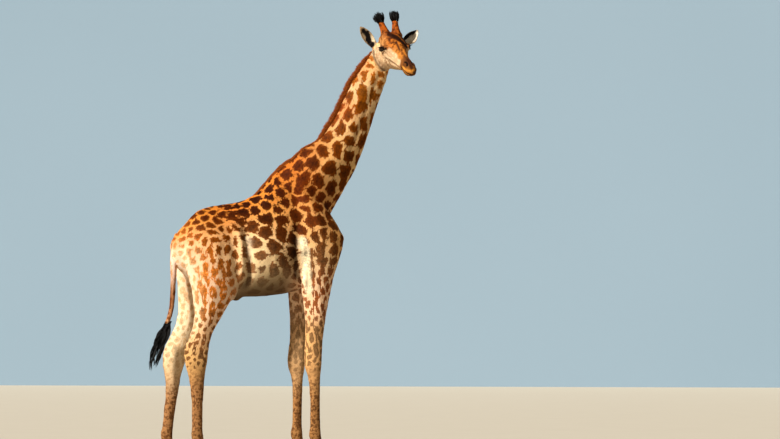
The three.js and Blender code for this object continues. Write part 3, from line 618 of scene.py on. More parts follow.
# What the coat is like round named places on the body, blended between them. Sizes are of one
# patch and of the pale gap to the next. Star is how deeply a patch is notched, and plain is how
# far it has faded.
coatPlaces = dict(
    throat=dict(at=(1290, 70, 3700), reach=200, ground="#e4c187", patch="#a35f0f",
                size=64, gap=18, star=0.5, plain=0.1),
    upperNeck=dict(at=(1150, 90, 3400), reach=220, ground="#deb884", patch="#8b4b07",
                   size=86, gap=19, star=1.0, plain=0.0),
    middleNeck=dict(at=(1010, 110, 3080), reach=220, ground="#e0b47b", patch="#793c04",
                    size=100, gap=20, star=1.0, plain=0),
    lowerNeck=dict(at=(830, 150, 2740), reach=220, ground="#e6b877", patch="#6d3403",
                   size=104, gap=19, star=0.9, plain=0),
    nape=dict(at=(900, 0, 3240), reach=120, ground="#d77627", patch="#823102",
              size=70, gap=18, star=0.5, plain=0),
    napeTop=dict(at=(1120, 0, 3640), reach=120, ground="#da8234", patch="#934004",
                 size=70, gap=18, star=0.4, plain=0),
    withersFront=dict(at=(640, 60, 2860), reach=180, ground="#c77a33", patch="#5e2601",
                      size=86, gap=20, star=0.6, plain=0),
    withers=dict(at=(420, 40, 2740), reach=180, ground="#c4691f", patch="#511e01",
                 size=84, gap=16, star=0.3, plain=0),
    shoulderTop=dict(at=(480, 170, 2460), reach=190, ground="#be7731", patch="#582101",
                     size=90, gap=14, star=0.5, plain=0),
    shoulder=dict(at=(560, 240, 2200), reach=190, ground="#d99e5e", patch="#5e2802",
                  size=95, gap=16, star=0.5, plain=0),
    shoulderPoint=dict(at=(740, 170, 2010), reach=160, ground="#d79b54", patch="#552602",
                       size=92, gap=19, star=0.5, plain=0.05),
    lowShoulder=dict(at=(600, 250, 1850), reach=170, ground="#ecc28c", patch="#683303",
                     size=72, gap=19, star=0.6, plain=0.1),
    forearm=dict(at=(590, 230, 1560), reach=170, ground="#f5c99e", patch="#853d05",
                 size=42, gap=18, star=0.4, plain=0.05),
    knee=dict(at=(560, 170, 920), reach=220, ground="#d4a067", patch="#371a06",
              size=36, gap=14, star=0.3, plain=0.3),
    frontShin=dict(at=(555, 170, 480), reach=260, ground="#9a6a3c", patch="#42230d",
                   size=30, gap=14, star=0.2, plain=0.7),
    back=dict(at=(60, 60, 2420), reach=200, ground="#d47927", patch="#2d0d00",
              size=72, gap=16, star=0.3, plain=0),
    loin=dict(at=(-220, 70, 2310), reach=180, ground="#c66f24", patch="#330f00",
              size=68, gap=15, star=0.3, plain=0),
    rump=dict(at=(-500, 60, 2240), reach=190, ground="#c87624", patch="#4c1b00",
              size=72, gap=15, star=0.3, plain=0),
    tailHead=dict(at=(-690, 30, 2080), reach=130, ground="#cd893e", patch="#994909",
                  size=56, gap=18, star=0.3, plain=0.1),
    upperRibs=dict(at=(150, 240, 2200), reach=190, ground="#df9a4a", patch="#4b1c00",
                   size=94, gap=14, star=0.4, plain=0),
    ribs=dict(at=(130, 285, 1980), reach=180, ground="#eec68f", patch="#5f2c02",
              size=98, gap=17, star=0.4, plain=0.0),
    flank=dict(at=(-20, 280, 1840), reach=180, ground="#f1d3a2", patch="#723b08",
               size=98, gap=27, star=0.6, plain=0.12),
    # painted shade: the ribs just behind the foreleg are coloured darker
    shadedRibs=dict(at=(330, 240, 1880), reach=84, ground="#c29767", patch="#512804",
                  size=120, gap=18, star=0.3, plain=0.0),
    # painted shade: the belly, which faces down, is coloured much darker
    belly=dict(at=(120, 60, 1500), reach=210, ground="#5d472f", patch="#371e04",
               size=90, gap=34, star=0.4, plain=0.6),
    haunchTop=dict(at=(-420, 190, 2110), reach=170, ground="#cc853a", patch="#562200",
                   size=74, gap=17, star=0.8, plain=0),
    haunch=dict(at=(-330, 245, 1880), reach=190, ground="#edba83", patch="#824002",
                size=68, gap=20, star=1.3, plain=0),
    haunchRear=dict(at=(-610, 170, 1900), reach=140, ground="#e2b080", patch="#a95811",
                    size=47, gap=19, star=1.2, plain=0.05),
    haunchLow=dict(at=(-450, 220, 1660), reach=160, ground="#e5bd9a", patch="#cd721f",
                   size=47, gap=20, star=1.4, plain=0.05),
    buttock=dict(at=(-690, 90, 1740), reach=130, ground="#f3d6c2", patch="#d28a36",
                 size=38, gap=26, star=0.6, plain=0.3),
    lowThigh=dict(at=(-500, 190, 1400), reach=170, ground="#f1cba6", patch="#b16419",
                  size=39, gap=18, star=1.0, plain=0.0),
    gaskin=dict(at=(-540, 190, 1180), reach=160, ground="#e6b686", patch="#773c06",
                size=38, gap=17, star=0.5, plain=0.1),
    hock=dict(at=(-600, 170, 950), reach=160, ground="#cd9d60", patch="#4a2509",
              size=34, gap=15, star=0.3, plain=0.1),
    hindShin=dict(at=(-600, 170, 480), reach=260, ground="#9f6f43", patch="#482711",
                  size=30, gap=14, star=0.2, plain=0.7),
    breast=dict(at=(830, 20, 1980), reach=150, ground="#d59d5a", patch="#733a06",
                size=84, gap=24, star=0.4, plain=0.1),
    tail=dict(at=(-735, 0, 1500), reach=160, ground="#8b4f1d", patch="#4e220a",
              size=44, gap=18, star=0.2, plain=0.1),
    feet=dict(at=(0, 170, 90), reach=500, ground="#876036", patch="#452509",
              size=30, gap=14, star=0.2, plain=0.8),
)

# The same round places on the head, in the head's own frame.
headPlaces = dict(
    forehead=dict(at=(20, 0, 90), reach=70, ground="#ad611c", patch="#341201",
                  size=36, gap=20, star=0.3, plain=0.75),
    crown=dict(at=(-110, 0, 110), reach=70, ground="#a55214", patch="#2f1001",
               size=36, gap=20, star=0.3, plain=0.7),
    hornStalk=dict(at=(-200, 60, 160), reach=70, ground="#a34d0e", patch="#310f01",
                   size=36, gap=20, star=0.3, plain=0.8),
    temple=dict(at=(-90, 112, 40), reach=52, ground="#ae763f", patch="#5f3009",
                size=34, gap=20, star=0.4, plain=0.5),
    brow=dict(at=(20, 112, 44), reach=40, ground="#a15c22", patch="#2d1202",
              size=34, gap=20, star=0.3, plain=0.7),
    cheek=dict(at=(-20, 116, -70), reach=60, ground="#c8a67c", patch="#8a5a30",
               size=40, gap=24, star=0.4, plain=0.5),
    jaw=dict(at=(-90, 100, -160), reach=66, ground="#c09e72", patch="#875a31",
             size=40, gap=20, star=0.5, plain=0.35),
    foreCheek=dict(at=(80, 90, -110), reach=60, ground="#d6b88f", patch="#d2a673",
                   size=36, gap=26, star=0.3, plain=0.7),
    face=dict(at=(150, 30, 58), reach=70, ground="#be7228", patch="#421d02",
              size=36, gap=20, star=0.3, plain=0.75),
    sideFace=dict(at=(170, 70, -60), reach=60, ground="#b07a3c", patch="#a06920",
                  size=34, gap=20, star=0.3, plain=0.7),
    underJaw=dict(at=(120, 30, -168), reach=80, ground="#c3a678", patch="#c7a074",
                  size=36, gap=20, star=0.3, plain=0.85),
    nose=dict(at=(330, 20, 36), reach=60, ground="#5a3113", patch="#30170a",
              size=30, gap=14, star=0.2, plain=0.8),
    sideNose=dict(at=(330, 60, -30), reach=50, ground="#79491e", patch="#41210e",
                  size=30, gap=14, star=0.2, plain=0.75),
    lips=dict(at=(410, 30, -50), reach=48, ground="#996025", patch="#4a260f",
              size=30, gap=14, star=0.2, plain=0.85),
    chin=dict(at=(380, 20, -108), reach=44, ground="#6e4523", patch="#4a2c16",
              size=30, gap=14, star=0.2, plain=0.85),
    skullBack=dict(at=(-200, 60, -60), reach=80, ground="#e6bf88", patch="#a4692e",
                   size=50, gap=22, star=0.4, plain=0.2),
)

# Marks laid over the head's colours with a soft brush, in the head's frame. Full is how far a
# mark covers what lies under it. It lies on both sides unless it names one.
headMarks = [
    dict(name="farFace", path=[(-104, -30, 110), (-68, -11, 108), (-30, 11, 104),
                               (11, 28, 96), (41, 51, 76), (59, 79, 45)],
         width=23, colour="#1a0a05", full=0.97, hand=1),
    dict(name="farFaceNear", path=[(-90, -48, 104), (-50, -26, 104), (-8, -8, 100),
                                   (28, 8, 92), (56, 34, 78)],
         width=18, colour="#200c05", full=0.95, hand=1),
    dict(name="farTemple", path=[(-70, 60, 92), (-30, 90, 70), (6, 112, 46)],
         width=20, colour="#1c0b05", full=0.95, hand=1),
    dict(name="bridgeStripe", path=[(46, -24, 88), (75, -24, 82), (112, -24, 70), (145, -24, 57)],
         width=9, colour="#36180a", full=0.9, hand=1),
    dict(name="bridgeSmudge", path=[(170, -16, 56), (206, -22, 48)],
         width=9, colour="#5c3013", full=0.6, hand=1),
    dict(name="bridgeSmudgeTwo", path=[(232, -8, 46), (262, -20, 40)],
         width=9, colour="#4a260f", full=0.6, hand=1),
    dict(name="foreheadSpot", path=[(-44, -56, 96), (-20, -64, 88)],
         width=10, colour="#4a2009", full=0.85, hand=1),
    dict(name="foreheadSpotTwo", path=[(-4, -72, 82), (24, -66, 78)],
         width=9, colour="#54280d", full=0.8, hand=1),
    dict(name="hornFoot", path=[(-118, 30, 112), (-96, 20, 116)],
         width=13, colour="#3c180a", full=0.7),
    dict(name="hornInner", path=[(-150, 24, 128), (-200, 24, 190)],
         width=10, colour="#3c180a", full=0.6),
    dict(name="hornSide", path=[(-150, 74, 84), (-190, 82, 150)],
         width=9, colour="#6a3210", full=0.5),
    dict(name="browShade", path=[(-62, 132, 20), (-24, 142, 32), (14, 132, 36), (36, 116, 32)],
         width=8, colour="#4a2a16", full=0.8),
    dict(name="eyeFront", path=[(14, 131, 11), (30, 124, 19), (42, 116, 25)],
         width=7, colour="#0d0605", full=1.0),
    dict(name="eyeBack", path=[(-50, 131, -16), (-62, 134, -22), (-72, 135, -26)],
         width=7, colour="#0d0605", full=1.0),
    dict(name="cheekRing", path=[(4, 102, -110), (22, 97, -106), (34, 92, -118),
                                 (22, 96, -130), (6, 102, -126)],
         width=4.5, colour="#7a4a20", full=0.85),
    dict(name="cheekSpotTwo", path=[(-28, 134, -72), (-40, 134, -92), (-32, 130, -112)],
         width=10, colour="#85562a", full=0.75),
    dict(name="cheekSpotThree", path=[(70, 84, -112), (88, 80, -126)],
         width=9, colour="#8f6032", full=0.65),
    dict(name="jawShade", path=[(-112, 172, -66), (-50, 184, -103), (6, 169, -148),
                                (27, 143, -177), (34, 107, -203)],
         width=11, colour="#4a2c18", full=0.72, hand=-1, wide=True),
    dict(name="throatShade", path=[(-60, 210, -126), (0, 198, -174), (22, 170, -203), (28, 134, -227)],
         width=7, colour="#55331a", full=0.85, hand=-1, wide=True),
    dict(name="farJawShade", path=[(-190, 96, -70), (-168, 106, -120),
                                   (-138, 98, -174), (-92, 76, -214)],
         width=6, colour="#7a5330", full=0.6, hand=1),
    dict(name="lipLine", path=[(446, 0, -60), (435, 33, -50), (396, 57, -41),
                               (352, 61, -40), (316, 58, -42), (280, 56, -47)],
         width=4.6, colour="#120906", full=1.0),
    dict(name="lipGold", path=[(432, 8, -24), (412, 34, -28), (366, 60, -24), (330, 62, -26)],
         width=10, colour="#cf8832", full=0.75),
    dict(name="chinDark", path=[(440, 0, -82), (420, 24, -76), (384, 46, -72),
                                (350, 50, -70), (312, 50, -66)],
         width=12, colour="#38200f", full=0.85),
    dict(name="muzzleEdge", path=[(258, 60, 0), (274, 61, -24), (282, 58, -46)],
         width=7, colour="#6a3a18", full=0.7),
    dict(name="nostril", path=[(320, 36, 13), (334, 29, 20), (352, 24, 20), (372, 27, 13), (380, 34, 4)],
         width=8.5, colour="#0b0504", full=1.0),
    dict(name="nostrilShade", path=[(326, 50, 4), (356, 46, 2), (384, 42, -6)],
         width=8, colour="#4a2611", full=0.6),
    dict(name="noseTop", path=[(312, 0, 42), (350, 0, 36), (384, 0, 22), (412, 4, 4)],
         width=15, colour="#3a1b0c", full=0.8),
    # painted shade: the tip of the nose is darkened on the far side only
    dict(name="noseTipShade", path=[(440, 14, -36), (430, 34, -32), (412, 48, -26), (384, 52, -4)],
         width=12, colour="#241009", full=0.85, hand=1),
    dict(name="noseSide", path=[(286, 52, 12), (312, 56, -8)],
         width=15, colour="#74431c", full=0.6),
    dict(name="earFoot", path=[(-138, 120, 8), (-146, 128, -34), (-152, 120, -84)],
         width=10, colour="#37200f", full=0.9),
]

# Bare-looking white strips of the body: behind the shoulder down to the elbow, and before the thigh.
bodyMarks = [
    dict(path=[(436, 225, 2000), (461, 239, 1872), (462, 238, 1754), (474, 233, 1644), (492, 233, 1565)],
         width=43, colour="#f1dcb4", full=0.86),
    dict(path=[(-90, 219, 2025), (-78, 250, 1907), (-66, 240, 1815)],
         width=38, colour="#eed7b2", full=0.6),
]

# The side of the face is cream where its height plus 0.62 of its distance from the middle plane
# lies below this line of values along the head.
creamLine = [(-60, 90), (20, 95), (71, 85), (162, 48), (253, 23), (300, -5)]


def linear(hexColour):
    values = np.array([int(hexColour[i:i + 2], 16) / 255 for i in (1, 3, 5)])
    return np.where(values <= 0.04045, values / 12.92, ((values + 0.055) / 1.055) ** 2.4)


# Blends the values of named places over the points, each place counting on both sides.
def blendPlaces(points, places):
    folded = points.copy()
    folded[:, 1] = np.abs(folded[:, 1])
    spread = np.array([((folded - np.array(p["at"], float)) ** 2).sum(1) / p["reach"] ** 2
                       for p in places.values()])
    share = np.exp(-(spread - spread.min(0)) * 0.9)
    share /= share.sum(0)
    blended = {}
    for key in ("size", "gap", "star", "plain"):
        blended[key] = share.T @ np.array([p[key] for p in places.values()], float)
    for key in ("ground", "patch"):
        blended[key] = share.T @ np.array([linear(p[key]) for p in places.values()])
    return blended


seedSettings = dict(
    seed=7,
    tried=14000,
    room=6000,  # more seeds than are ever kept
    apart=0.41,  # share of the two seeds' spacing that lies between them
    sampled=30000,
    rounds=4,  # of evening out
)


# Seeds are kept where no other seed stands closer than the local spacing, then evened out.
def spreadSeeds(places, spacing):
    chance = np.random.default_rng(seedSettings["seed"])
    order = chance.permutation(len(places))[:seedSettings["tried"]]
    kept = []
    keptPlaces = np.empty((seedSettings["room"], places.shape[1]))
    keptSpace = np.empty(seedSettings["room"])
    for i in order:
        n = len(kept)
        apart = np.linalg.norm(keptPlaces[:n] - places[i], axis=1)
        if n == 0 or (apart > seedSettings["apart"] * (keptSpace[:n] + spacing[i])).all():
            keptPlaces[n], keptSpace[n] = places[i], spacing[i]
            kept.append(i)
    seeds, space = keptPlaces[:len(kept)].copy(), keptSpace[:len(kept)].copy()
    sample = chance.permutation(len(places))[:seedSettings["sampled"]]
    for again in range(seedSettings["rounds"]):
        owner = nearestSeeds(places[sample], seeds, space, 1)[0][:, 0]
        count = np.bincount(owner, minlength=len(seeds))
        for k in range(seeds.shape[1]):
            mean = np.bincount(owner, places[sample, k], len(seeds)) / np.maximum(count, 1)
            seeds[:, k] = np.where(count > 2, seeds[:, k] * 0.5 + mean * 0.5, seeds[:, k])
    return seeds, space


def nearestSeeds(places, seeds, space, wanted):
    owners = np.empty((len(places), wanted), int)
    reach = np.empty((len(places), wanted))
    square = (seeds ** 2).sum(1)
    for start in range(0, len(places), 6000):
        part = places[start:start + 6000]
        apart = np.sqrt(np.maximum((part ** 2).sum(1)[:, None] + square - 2 * part @ seeds.T, 0)) / space
        few = np.argpartition(apart, wanted, axis=1)[:, :wanted]
        value = np.take_along_axis(apart, few, 1)
        rank = np.argsort(value, axis=1)
        owners[start:start + 6000] = np.take_along_axis(few, rank, 1)
        reach[start:start + 6000] = np.take_along_axis(value, rank, 1)
    return owners, reach


# The markings over the skin: how far inside a patch each vertex lies (mm), the two colours
# that meet at its edge, the patch's own tone, and how mottled and how frayed it is.
def makeMarkings(mesh, share, unfolded):
    body, normals = toBody(readPoints(mesh)), readNormals(mesh)
    head, share = bodyToHead(body), share[:, None]
    onBody, onHead = blendPlaces(body, coatPlaces), blendPlaces(head, headPlaces)
    coat = {}
    for key in onBody:
        mix = share if onBody[key].ndim == 2 else share[:, 0]
        coat[key] = onBody[key] * (1 - mix) + onHead[key] * mix
    spacing = coat["size"] + coat["gap"]

    warped = body.copy()
    for k in range(3):
        warped[:, k] += wobble(body, 150, 31 + k) * spacing * 0.08
        warped[:, k] += wobble(body, 62, 41 + k) * spacing * 0.035
    # patches are longer than wide up the neck, and the far side of a limb counts as far away
    warped[:, 2] = np.where(warped[:, 2] > 2500, 2500 + (warped[:, 2] - 2500) / 1.22, warped[:, 2])
    places = np.hstack([warped, normals * (spacing * 0.45)[:, None]])
    seeds, space = spreadSeeds(places, spacing)
    owners, reach = nearestSeeds(places, seeds, space, 3)
    first, second, third = space[owners[:, 0]], space[owners[:, 1]], space[owners[:, 2]]
    inside = (reach[:, 1] - reach[:, 0]) / (1 / first + 1 / second)
    # a few neighbours have grown together, chosen by a made-up number for each pair of seeds
    low, high = owners[:, :2].min(1), owners[:, :2].max(1)
    merged = np.modf(np.abs(np.sin(low * 12.9898 + high * 78.233) * 43758.5453))[0] < 0.03
    inside = np.where(merged, (reach[:, 2] - reach[:, 0]) / (1 / first + 1 / third), inside)
    # notches run in from a patch's edge towards its middle
    chance = np.random.default_rng(19)
    lobes = chance.integers(4, 8, len(seeds))[owners[:, 0]]
    turn = chance.uniform(0, 6.28, len(seeds))[owners[:, 0]]
    depth = chance.uniform(0.0, 1.0, len(seeds))[owners[:, 0]] ** 0.7
    level = unit(np.cross(normals, (0.02, 0.03, 1.0)))
    upright = np.cross(level, normals)
    offset = warped - seeds[owners[:, 0], :3]
    angle = np.arctan2((offset * upright).sum(1), (offset * level).sum(1))
    notch = np.maximum(np.cos(lobes * angle + turn + wobble(body, 90, 51)), 0) ** 5
    # a patch never fills its cell: some lie smaller within it
    slack = chance.uniform(0.0, 0.05, len(seeds))[owners[:, 0]]
    field = inside - coat["gap"] / 2 - coat["size"] * slack
    field -= notch * coat["star"] * depth * coat["size"] * 0.3 * easeBetween(0.08, 0.4, reach[:, 0])

    tone = chance.normal(0, 1, len(seeds))[owners[:, 0]]
    tone = np.where(merged, tone * 0.5, tone)
    inner = np.clip(-normals[:, 1] * np.sign(body[:, 1]), 0, 1) * easeBetween(40, 90, np.abs(body[:, 1]))
    inner *= (1 - easeBetween(1500, 1750, body[:, 2])) * easeBetween(500, 1000, body[:, 2])
    rear = easeBetween(0.25, 0.8, -normals[:, 0]) * easeBetween(1000, 1250, body[:, 2])
    rear *= (1 - easeBetween(1850, 2000, body[:, 2])) * (body[:, 0] < -300)
    # the front legs' inner sides are kept less pale, as painted shade under the belly
    inner *= 1 - 0.75 * easeBetween(0, 300, body[:, 0])
    pale = np.clip(inner + rear * 0.7, 0, 1)[:, None] * (parts != fleshNames.index("tail"))[:, None]
    coat["ground"] = coat["ground"] * (1 - pale * 0.8) + linear("#ecd6b0") * pale * 0.8
    coat["patch"] = coat["patch"] * (1 - pale * 0.6) + linear("#d2a368") * pale * 0.6
    coat["plain"] = np.clip(coat["plain"] + pale[:, 0] * 0.35, 0, 1)

    # the side of the face is cream below a line from the eye to the mouth, and so is the cheek,
    # which on the right is pushed out over the neck where the head is turned
    line = np.interp(head[:, 0], [p[0] for p in creamLine], [p[1] for p in creamLine])
    line += wobble(head, 55, 8) * 5
    cream = easeBetween(line + 8, line - 8, head[:, 2] + 0.62 * np.abs(head[:, 1]))
    cream *= easeBetween(-90, 10, head[:, 0])
    beforeMuzzle = 1 - easeBetween(250, 286, head[:, 0] + wobble(head, 40, 9) * 8)
    cream *= beforeMuzzle * easeBetween(30, 52, np.abs(head[:, 1]))
    cream *= easeBetween(0.02, 0.4, share[:, 0])
    turned = head @ np.array([0.076, 0.825, 0.559]) + wobble(head, 70, 4) * 3
    over = easeBetween(-230, -212, turned) * easeBetween(-216, -200, head[:, 2]) * (head[:, 1] < -60)
    over *= easeBetween(-150, -110, head[:, 0]) * (np.linalg.norm(head, axis=1) < 330) * (1 - share[:, 0])
    cream = np.maximum(cream * 0.9, over)
    for key, colour in (("ground", "#cfb08a"), ("patch", "#8e5c30")):
        coat[key] = coat[key] * (1 - cream[:, None]) + linear(colour) * cream[:, None]
    field = field * (1 - over) - 25 * over

    # black lids with a pale ring outside them
    for hand in (1, -1):
        centre, out, along, rise = eyeFrame(hand)
        offset = head - centre
        near = ((np.linalg.norm(offset, axis=1) < 80) & (offset @ out > 0)).astype(float)
        edge = lidEdge(offset, out, along, rise)
        below = 1 - easeBetween(-14, 4, offset @ rise)
        ring = near * easeBetween(-26, -17, edge) * 0.9 * below
        rim = near * easeBetween(-13, -9, edge)
        for amount, colour in ((ring * 0.75, "#e6cfa8"), (rim, "#0b0605")):
            for key in ("ground", "patch"):
                coat[key] = coat[key] * (1 - amount[:, None]) + linear(colour) * amount[:, None]

    # marks lie where the skin was before its folds were pressed in, so that they fill the folds
    smooth = bodyToHead(unfolded)
    for mark in headMarks:
        hands = (mark["hand"],) if "hand" in mark else (1, -1)
        for hand in hands:
            reachIn = 1 if "wide" in mark else share[:, 0]  # two marks run on over the neck
            path = mirrored(mark["path"], hand)
            near = np.maximum(nearness(head, path, mark["width"]), nearness(smooth, path, mark["width"]))
            press = (np.minimum(near * 1.7, 1) * mark["full"] * reachIn)[:, None]
            for key in ("ground", "patch"):
                coat[key] = coat[key] * (1 - press) + linear(mark["colour"]) * press
    for mark in bodyMarks:
        for hand in (1, -1):
            near = nearness(unfolded, mirrored(mark["path"], hand), mark["width"])
            near += wobble(body, 80, 61) * 0.07 + wobble(body, 30, 62) * 0.05
            press = (easeBetween(0.25, 0.6, near) * mark["full"])[:, None]
            for key in ("ground", "patch"):
                coat[key] = coat[key] * (1 - press) + linear(mark["colour"]) * press
    # painted shade: the coat is darkened along the creases of the folds that give a dark share
    for fold in bodyFolds:
        if "dark" in fold:
            for hand in foldSides(fold):
                press = nearness(unfolded, mirrored(fold["path"], hand), fold["width"] * 0.9) * fold["dark"]
                for key in ("ground", "patch"):
                    coat[key] *= (1 - press)[:, None]
    coat["patch"] *= (1 + np.clip(tone, -1.6, 1.6) * 0.1)[:, None]
    low = (1 - easeBetween(600, 960, body[:, 2])) * (1 - share[:, 0])
    upperHead = share[:, 0] * easeBetween(0, 60, head[:, 2]) * (1 - cream)
    coat["mottle"] = np.maximum(low, upperHead + cream * 0.45)
    field = field * np.clip(80 / coat["size"], 1, 2.2)  # small patches fray less
    coat["field"] = field * (1 - low) - 30 * low
    print("markings:", len(seeds), "seeds")
    return coat


def storeValues(mesh, values):
    for key in ("field", "plain", "mottle"):
        layer = mesh.attributes.new(key, "FLOAT", "POINT")
        layer.data.foreach_set("value", values[key].astype(np.float32))
    for key in ("ground", "patch"):
        layer = mesh.attributes.new(key, "FLOAT_COLOR", "POINT")
        rgba = np.ones((len(values[key]), 4), np.float32)
        rgba[:, :3] = values[key]
        layer.data.foreach_set("color", rgba.ravel())


markings = makeMarkings(skin.data, share, unfolded)


def paintEars(mesh, coat):
    body, normals = toBody(readPoints(mesh)), readNormals(mesh)
    for side in ("left", "right"):
        base, axis, across, mouth = earFrame(side)
        mine = parts == fleshNames.index("ear_" + side)
        along = (body - base) @ axis / earSettings["length"]
        over = (body - base) @ across
        half = 53 * np.sin(np.clip(along, 0.02, 0.98) * math.pi) ** 0.6
        front = mine * easeBetween(-0.1, 0.25, normals @ mouth)
        ragged = over + wobble(body, 40, 3) * 5 + wobble(body, 17, 4) * 2
        flat = np.stack([along * earSettings["length"], ragged, 0 * over], 1)
        path = [(share * earSettings["length"], across, 0) for share, across in earSettings[side]["hollow"]]
        # painted shade: the hollow is painted nearly black, and a softer painted shade lies round it
        dark = front * easeBetween(0.25, 0.6, nearness(flat, path, earSettings[side]["width"]))
        shade = front * nearness(flat, path, earSettings[side]["width"] * 2.2) * 0.55
        rim = mine * easeBetween(0.8, 1.0, np.abs(over) / np.maximum(half, 8)) * 0.6
        tip = mine * easeBetween(0.86, 1.0, along) * 0.7
        back = mine * (1 - front)
        # long pale hair at the foot
        hair = front * easeBetween(-2, 16, over) * (1 - easeBetween(0.36, 0.5, along))
        for key in ("ground", "patch"):
            value = coat[key]
            value[mine] = linear(earSettings[side]["lining"])
            for amount, colour in ((back, "#c08b52"), (hair, "#ead6b0"), (rim, "#6a4a30"),
                                   (tip, "#6e4526"), (shade, "#6a5340"), (dark, "#0d0806")):
                value[:] = value * (1 - amount[:, None]) + linear(colour) * amount[:, None]
        coat["field"] = np.where(mine, -20, coat["field"])
        coat["mottle"] = np.where(mine, 0, coat["mottle"])


paintEars(skin.data, markings)


# Materials.

# Adds one node with its settings, its fixed inputs and its links.
def addNode(tree, kind, inputs=None, links=None, **settings):
    node = tree.nodes.new(kind)
    for key, value in settings.items():
        setattr(node, key, value)
    for key, value in (inputs or {}).items():
        node.inputs[key].default_value = value
    for key, source in (links or {}).items():
        tree.links.new(source, node.inputs[key])
    return node


def newMaterial(name):
    material = bpy.data.materials.new(name)
    material.use_nodes = True
    tree = material.node_tree
    return material, tree, tree.nodes["Principled BSDF"]


# Giraffe hide under short hair: matt, with patch edges frayed along the lie of the coat. Hair is
# drawn as tufts of 1 to 4 mm and streaks of 3 mm, coarser than real hairs, so that it shows.
def coatMaterial(name, hairy):
    material, tree, shader = newMaterial(name)
    place = addNode(tree, "ShaderNodeTexCoord").outputs["Object"]
    field = addNode(tree, "ShaderNodeAttribute", attribute_name="field").outputs["Fac"]
    plain = addNode(tree, "ShaderNodeAttribute", attribute_name="plain").outputs["Fac"]
    mottle = addNode(tree, "ShaderNodeAttribute", attribute_name="mottle").outputs["Fac"]
    ground = addNode(tree, "ShaderNodeAttribute", attribute_name="ground").outputs["Color"]
    patch = addNode(tree, "ShaderNodeAttribute", attribute_name="patch").outputs["Color"]

    # frays of 30 mm and, along the lie of the hair, of 8 by 25 mm move the patch's edge in and out
    upright = addNode(tree, "ShaderNodeMapping", {"Scale": (125.0, 125.0, 40.0)},
                      {"Vector": place}).outputs[0]
    broad = addNode(tree, "ShaderNodeTexNoise", {"Scale": 34.0, "Detail": 2.0},
                    {"Vector": place}).outputs["Fac"]
    fine = addNode(tree, "ShaderNodeTexNoise", {"Scale": 1.0, "Detail": 2.0},
                   {"Vector": upright}).outputs["Fac"]
    moveBroad = addNode(tree, "ShaderNodeMath", {1: 34.0}, {0: broad}, operation="MULTIPLY").outputs[0]
    moveFine = addNode(tree, "ShaderNodeMath", {1: 26.0, 2: -30.0}, {0: fine},
                       operation="MULTIPLY_ADD").outputs[0]
    moved = addNode(tree, "ShaderNodeMath", {}, {0: moveBroad, 1: moveFine}, operation="ADD").outputs[0]
    edge = addNode(tree, "ShaderNodeMath", {}, {0: field, 1: moved}, operation="ADD").outputs[0]
    inPatch = addNode(tree, "ShaderNodeMapRange", {"From Min": -2.0, "From Max": 2.5}, {"Value": edge},
                      interpolation_type="SMOOTHSTEP").outputs[0]
    # faded places keep only part of the contrast
    kept = addNode(tree, "ShaderNodeMath", {0: 1.0}, {1: plain}, operation="SUBTRACT").outputs[0]
    patchShare = addNode(tree, "ShaderNodeMath", {}, {0: inPatch, 1: kept}, operation="MULTIPLY").outputs[0]
    # the lower legs are mottled in blots of 24 mm and the face in blots of 36 mm
    height = addNode(tree, "ShaderNodeSeparateXYZ", {}, {0: place}).outputs["Z"]
    blotScale = addNode(tree, "ShaderNodeMapRange",
                        {"From Min": 3.0, "From Max": 3.2, "To Min": 42.0, "To Max": 28.0},
                        {"Value": height}).outputs[0]
    blots = addNode(tree, "ShaderNodeTexNoise", {"Detail": 3.0, "Roughness": 0.55},
                    {"Vector": place, "Scale": blotScale}).outputs["Fac"]
    blotMask = addNode(tree, "ShaderNodeMapRange", {"From Min": 0.43, "From Max": 0.6}, {"Value": blots},
                       interpolation_type="SMOOTHSTEP").outputs[0]
    blotShare = addNode(tree, "ShaderNodeMath", {1: 0.82}, {0: blotMask}, operation="MULTIPLY").outputs[0]
    blotShare = addNode(tree, "ShaderNodeMath", {}, {0: blotShare, 1: mottle},
                        operation="MULTIPLY").outputs[0]
    share = addNode(tree, "ShaderNodeMath", {}, {0: patchShare, 1: blotShare},
                    operation="MAXIMUM").outputs[0]

    # a patch is darkest at its heart and browner towards its edge
    heart = addNode(tree, "ShaderNodeMapRange",
                    {"From Min": 4.0, "From Max": 40.0, "To Min": 1.3, "To Max": 0.62},
                    {"Value": edge}).outputs[0]
    heartColour = addNode(tree, "ShaderNodeVectorMath", {}, {0: patch, "Scale": heart},
                          operation="SCALE").outputs[0]
    mixed = addNode(tree, "ShaderNodeMix", {}, {0: share, 6: ground, 7: heartColour},
                    data_type="RGBA").outputs[2]

    # hairs of about 3 mm by 17 mm, lighter and darker, and dusty unevenness of 90 mm
    stretch = addNode(tree, "ShaderNodeMapping", {"Scale": (330.0, 330.0, 60.0)},
                      {"Vector": place}).outputs[0]
    hairs = addNode(tree, "ShaderNodeTexNoise", {"Scale": 1.0, "Detail": 2.0},
                    {"Vector": stretch}).outputs["Fac"]
    dust = addNode(tree, "ShaderNodeTexNoise", {"Scale": 11.0, "Detail": 3.0},
                   {"Vector": place}).outputs["Fac"]
    hairTone = addNode(tree, "ShaderNodeMapRange",
                       {"From Min": 0.3, "From Max": 0.7, "To Min": 0.84, "To Max": 1.14},
                       {"Value": hairs}).outputs[0]
    dustTone = addNode(tree, "ShaderNodeMapRange",
                       {"From Min": 0.3, "From Max": 0.7, "To Min": 0.94, "To Max": 1.06},
                       {"Value": dust}).outputs[0]
    tone = addNode(tree, "ShaderNodeMath", {}, {0: hairTone, 1: dustTone}, operation="MULTIPLY").outputs[0]
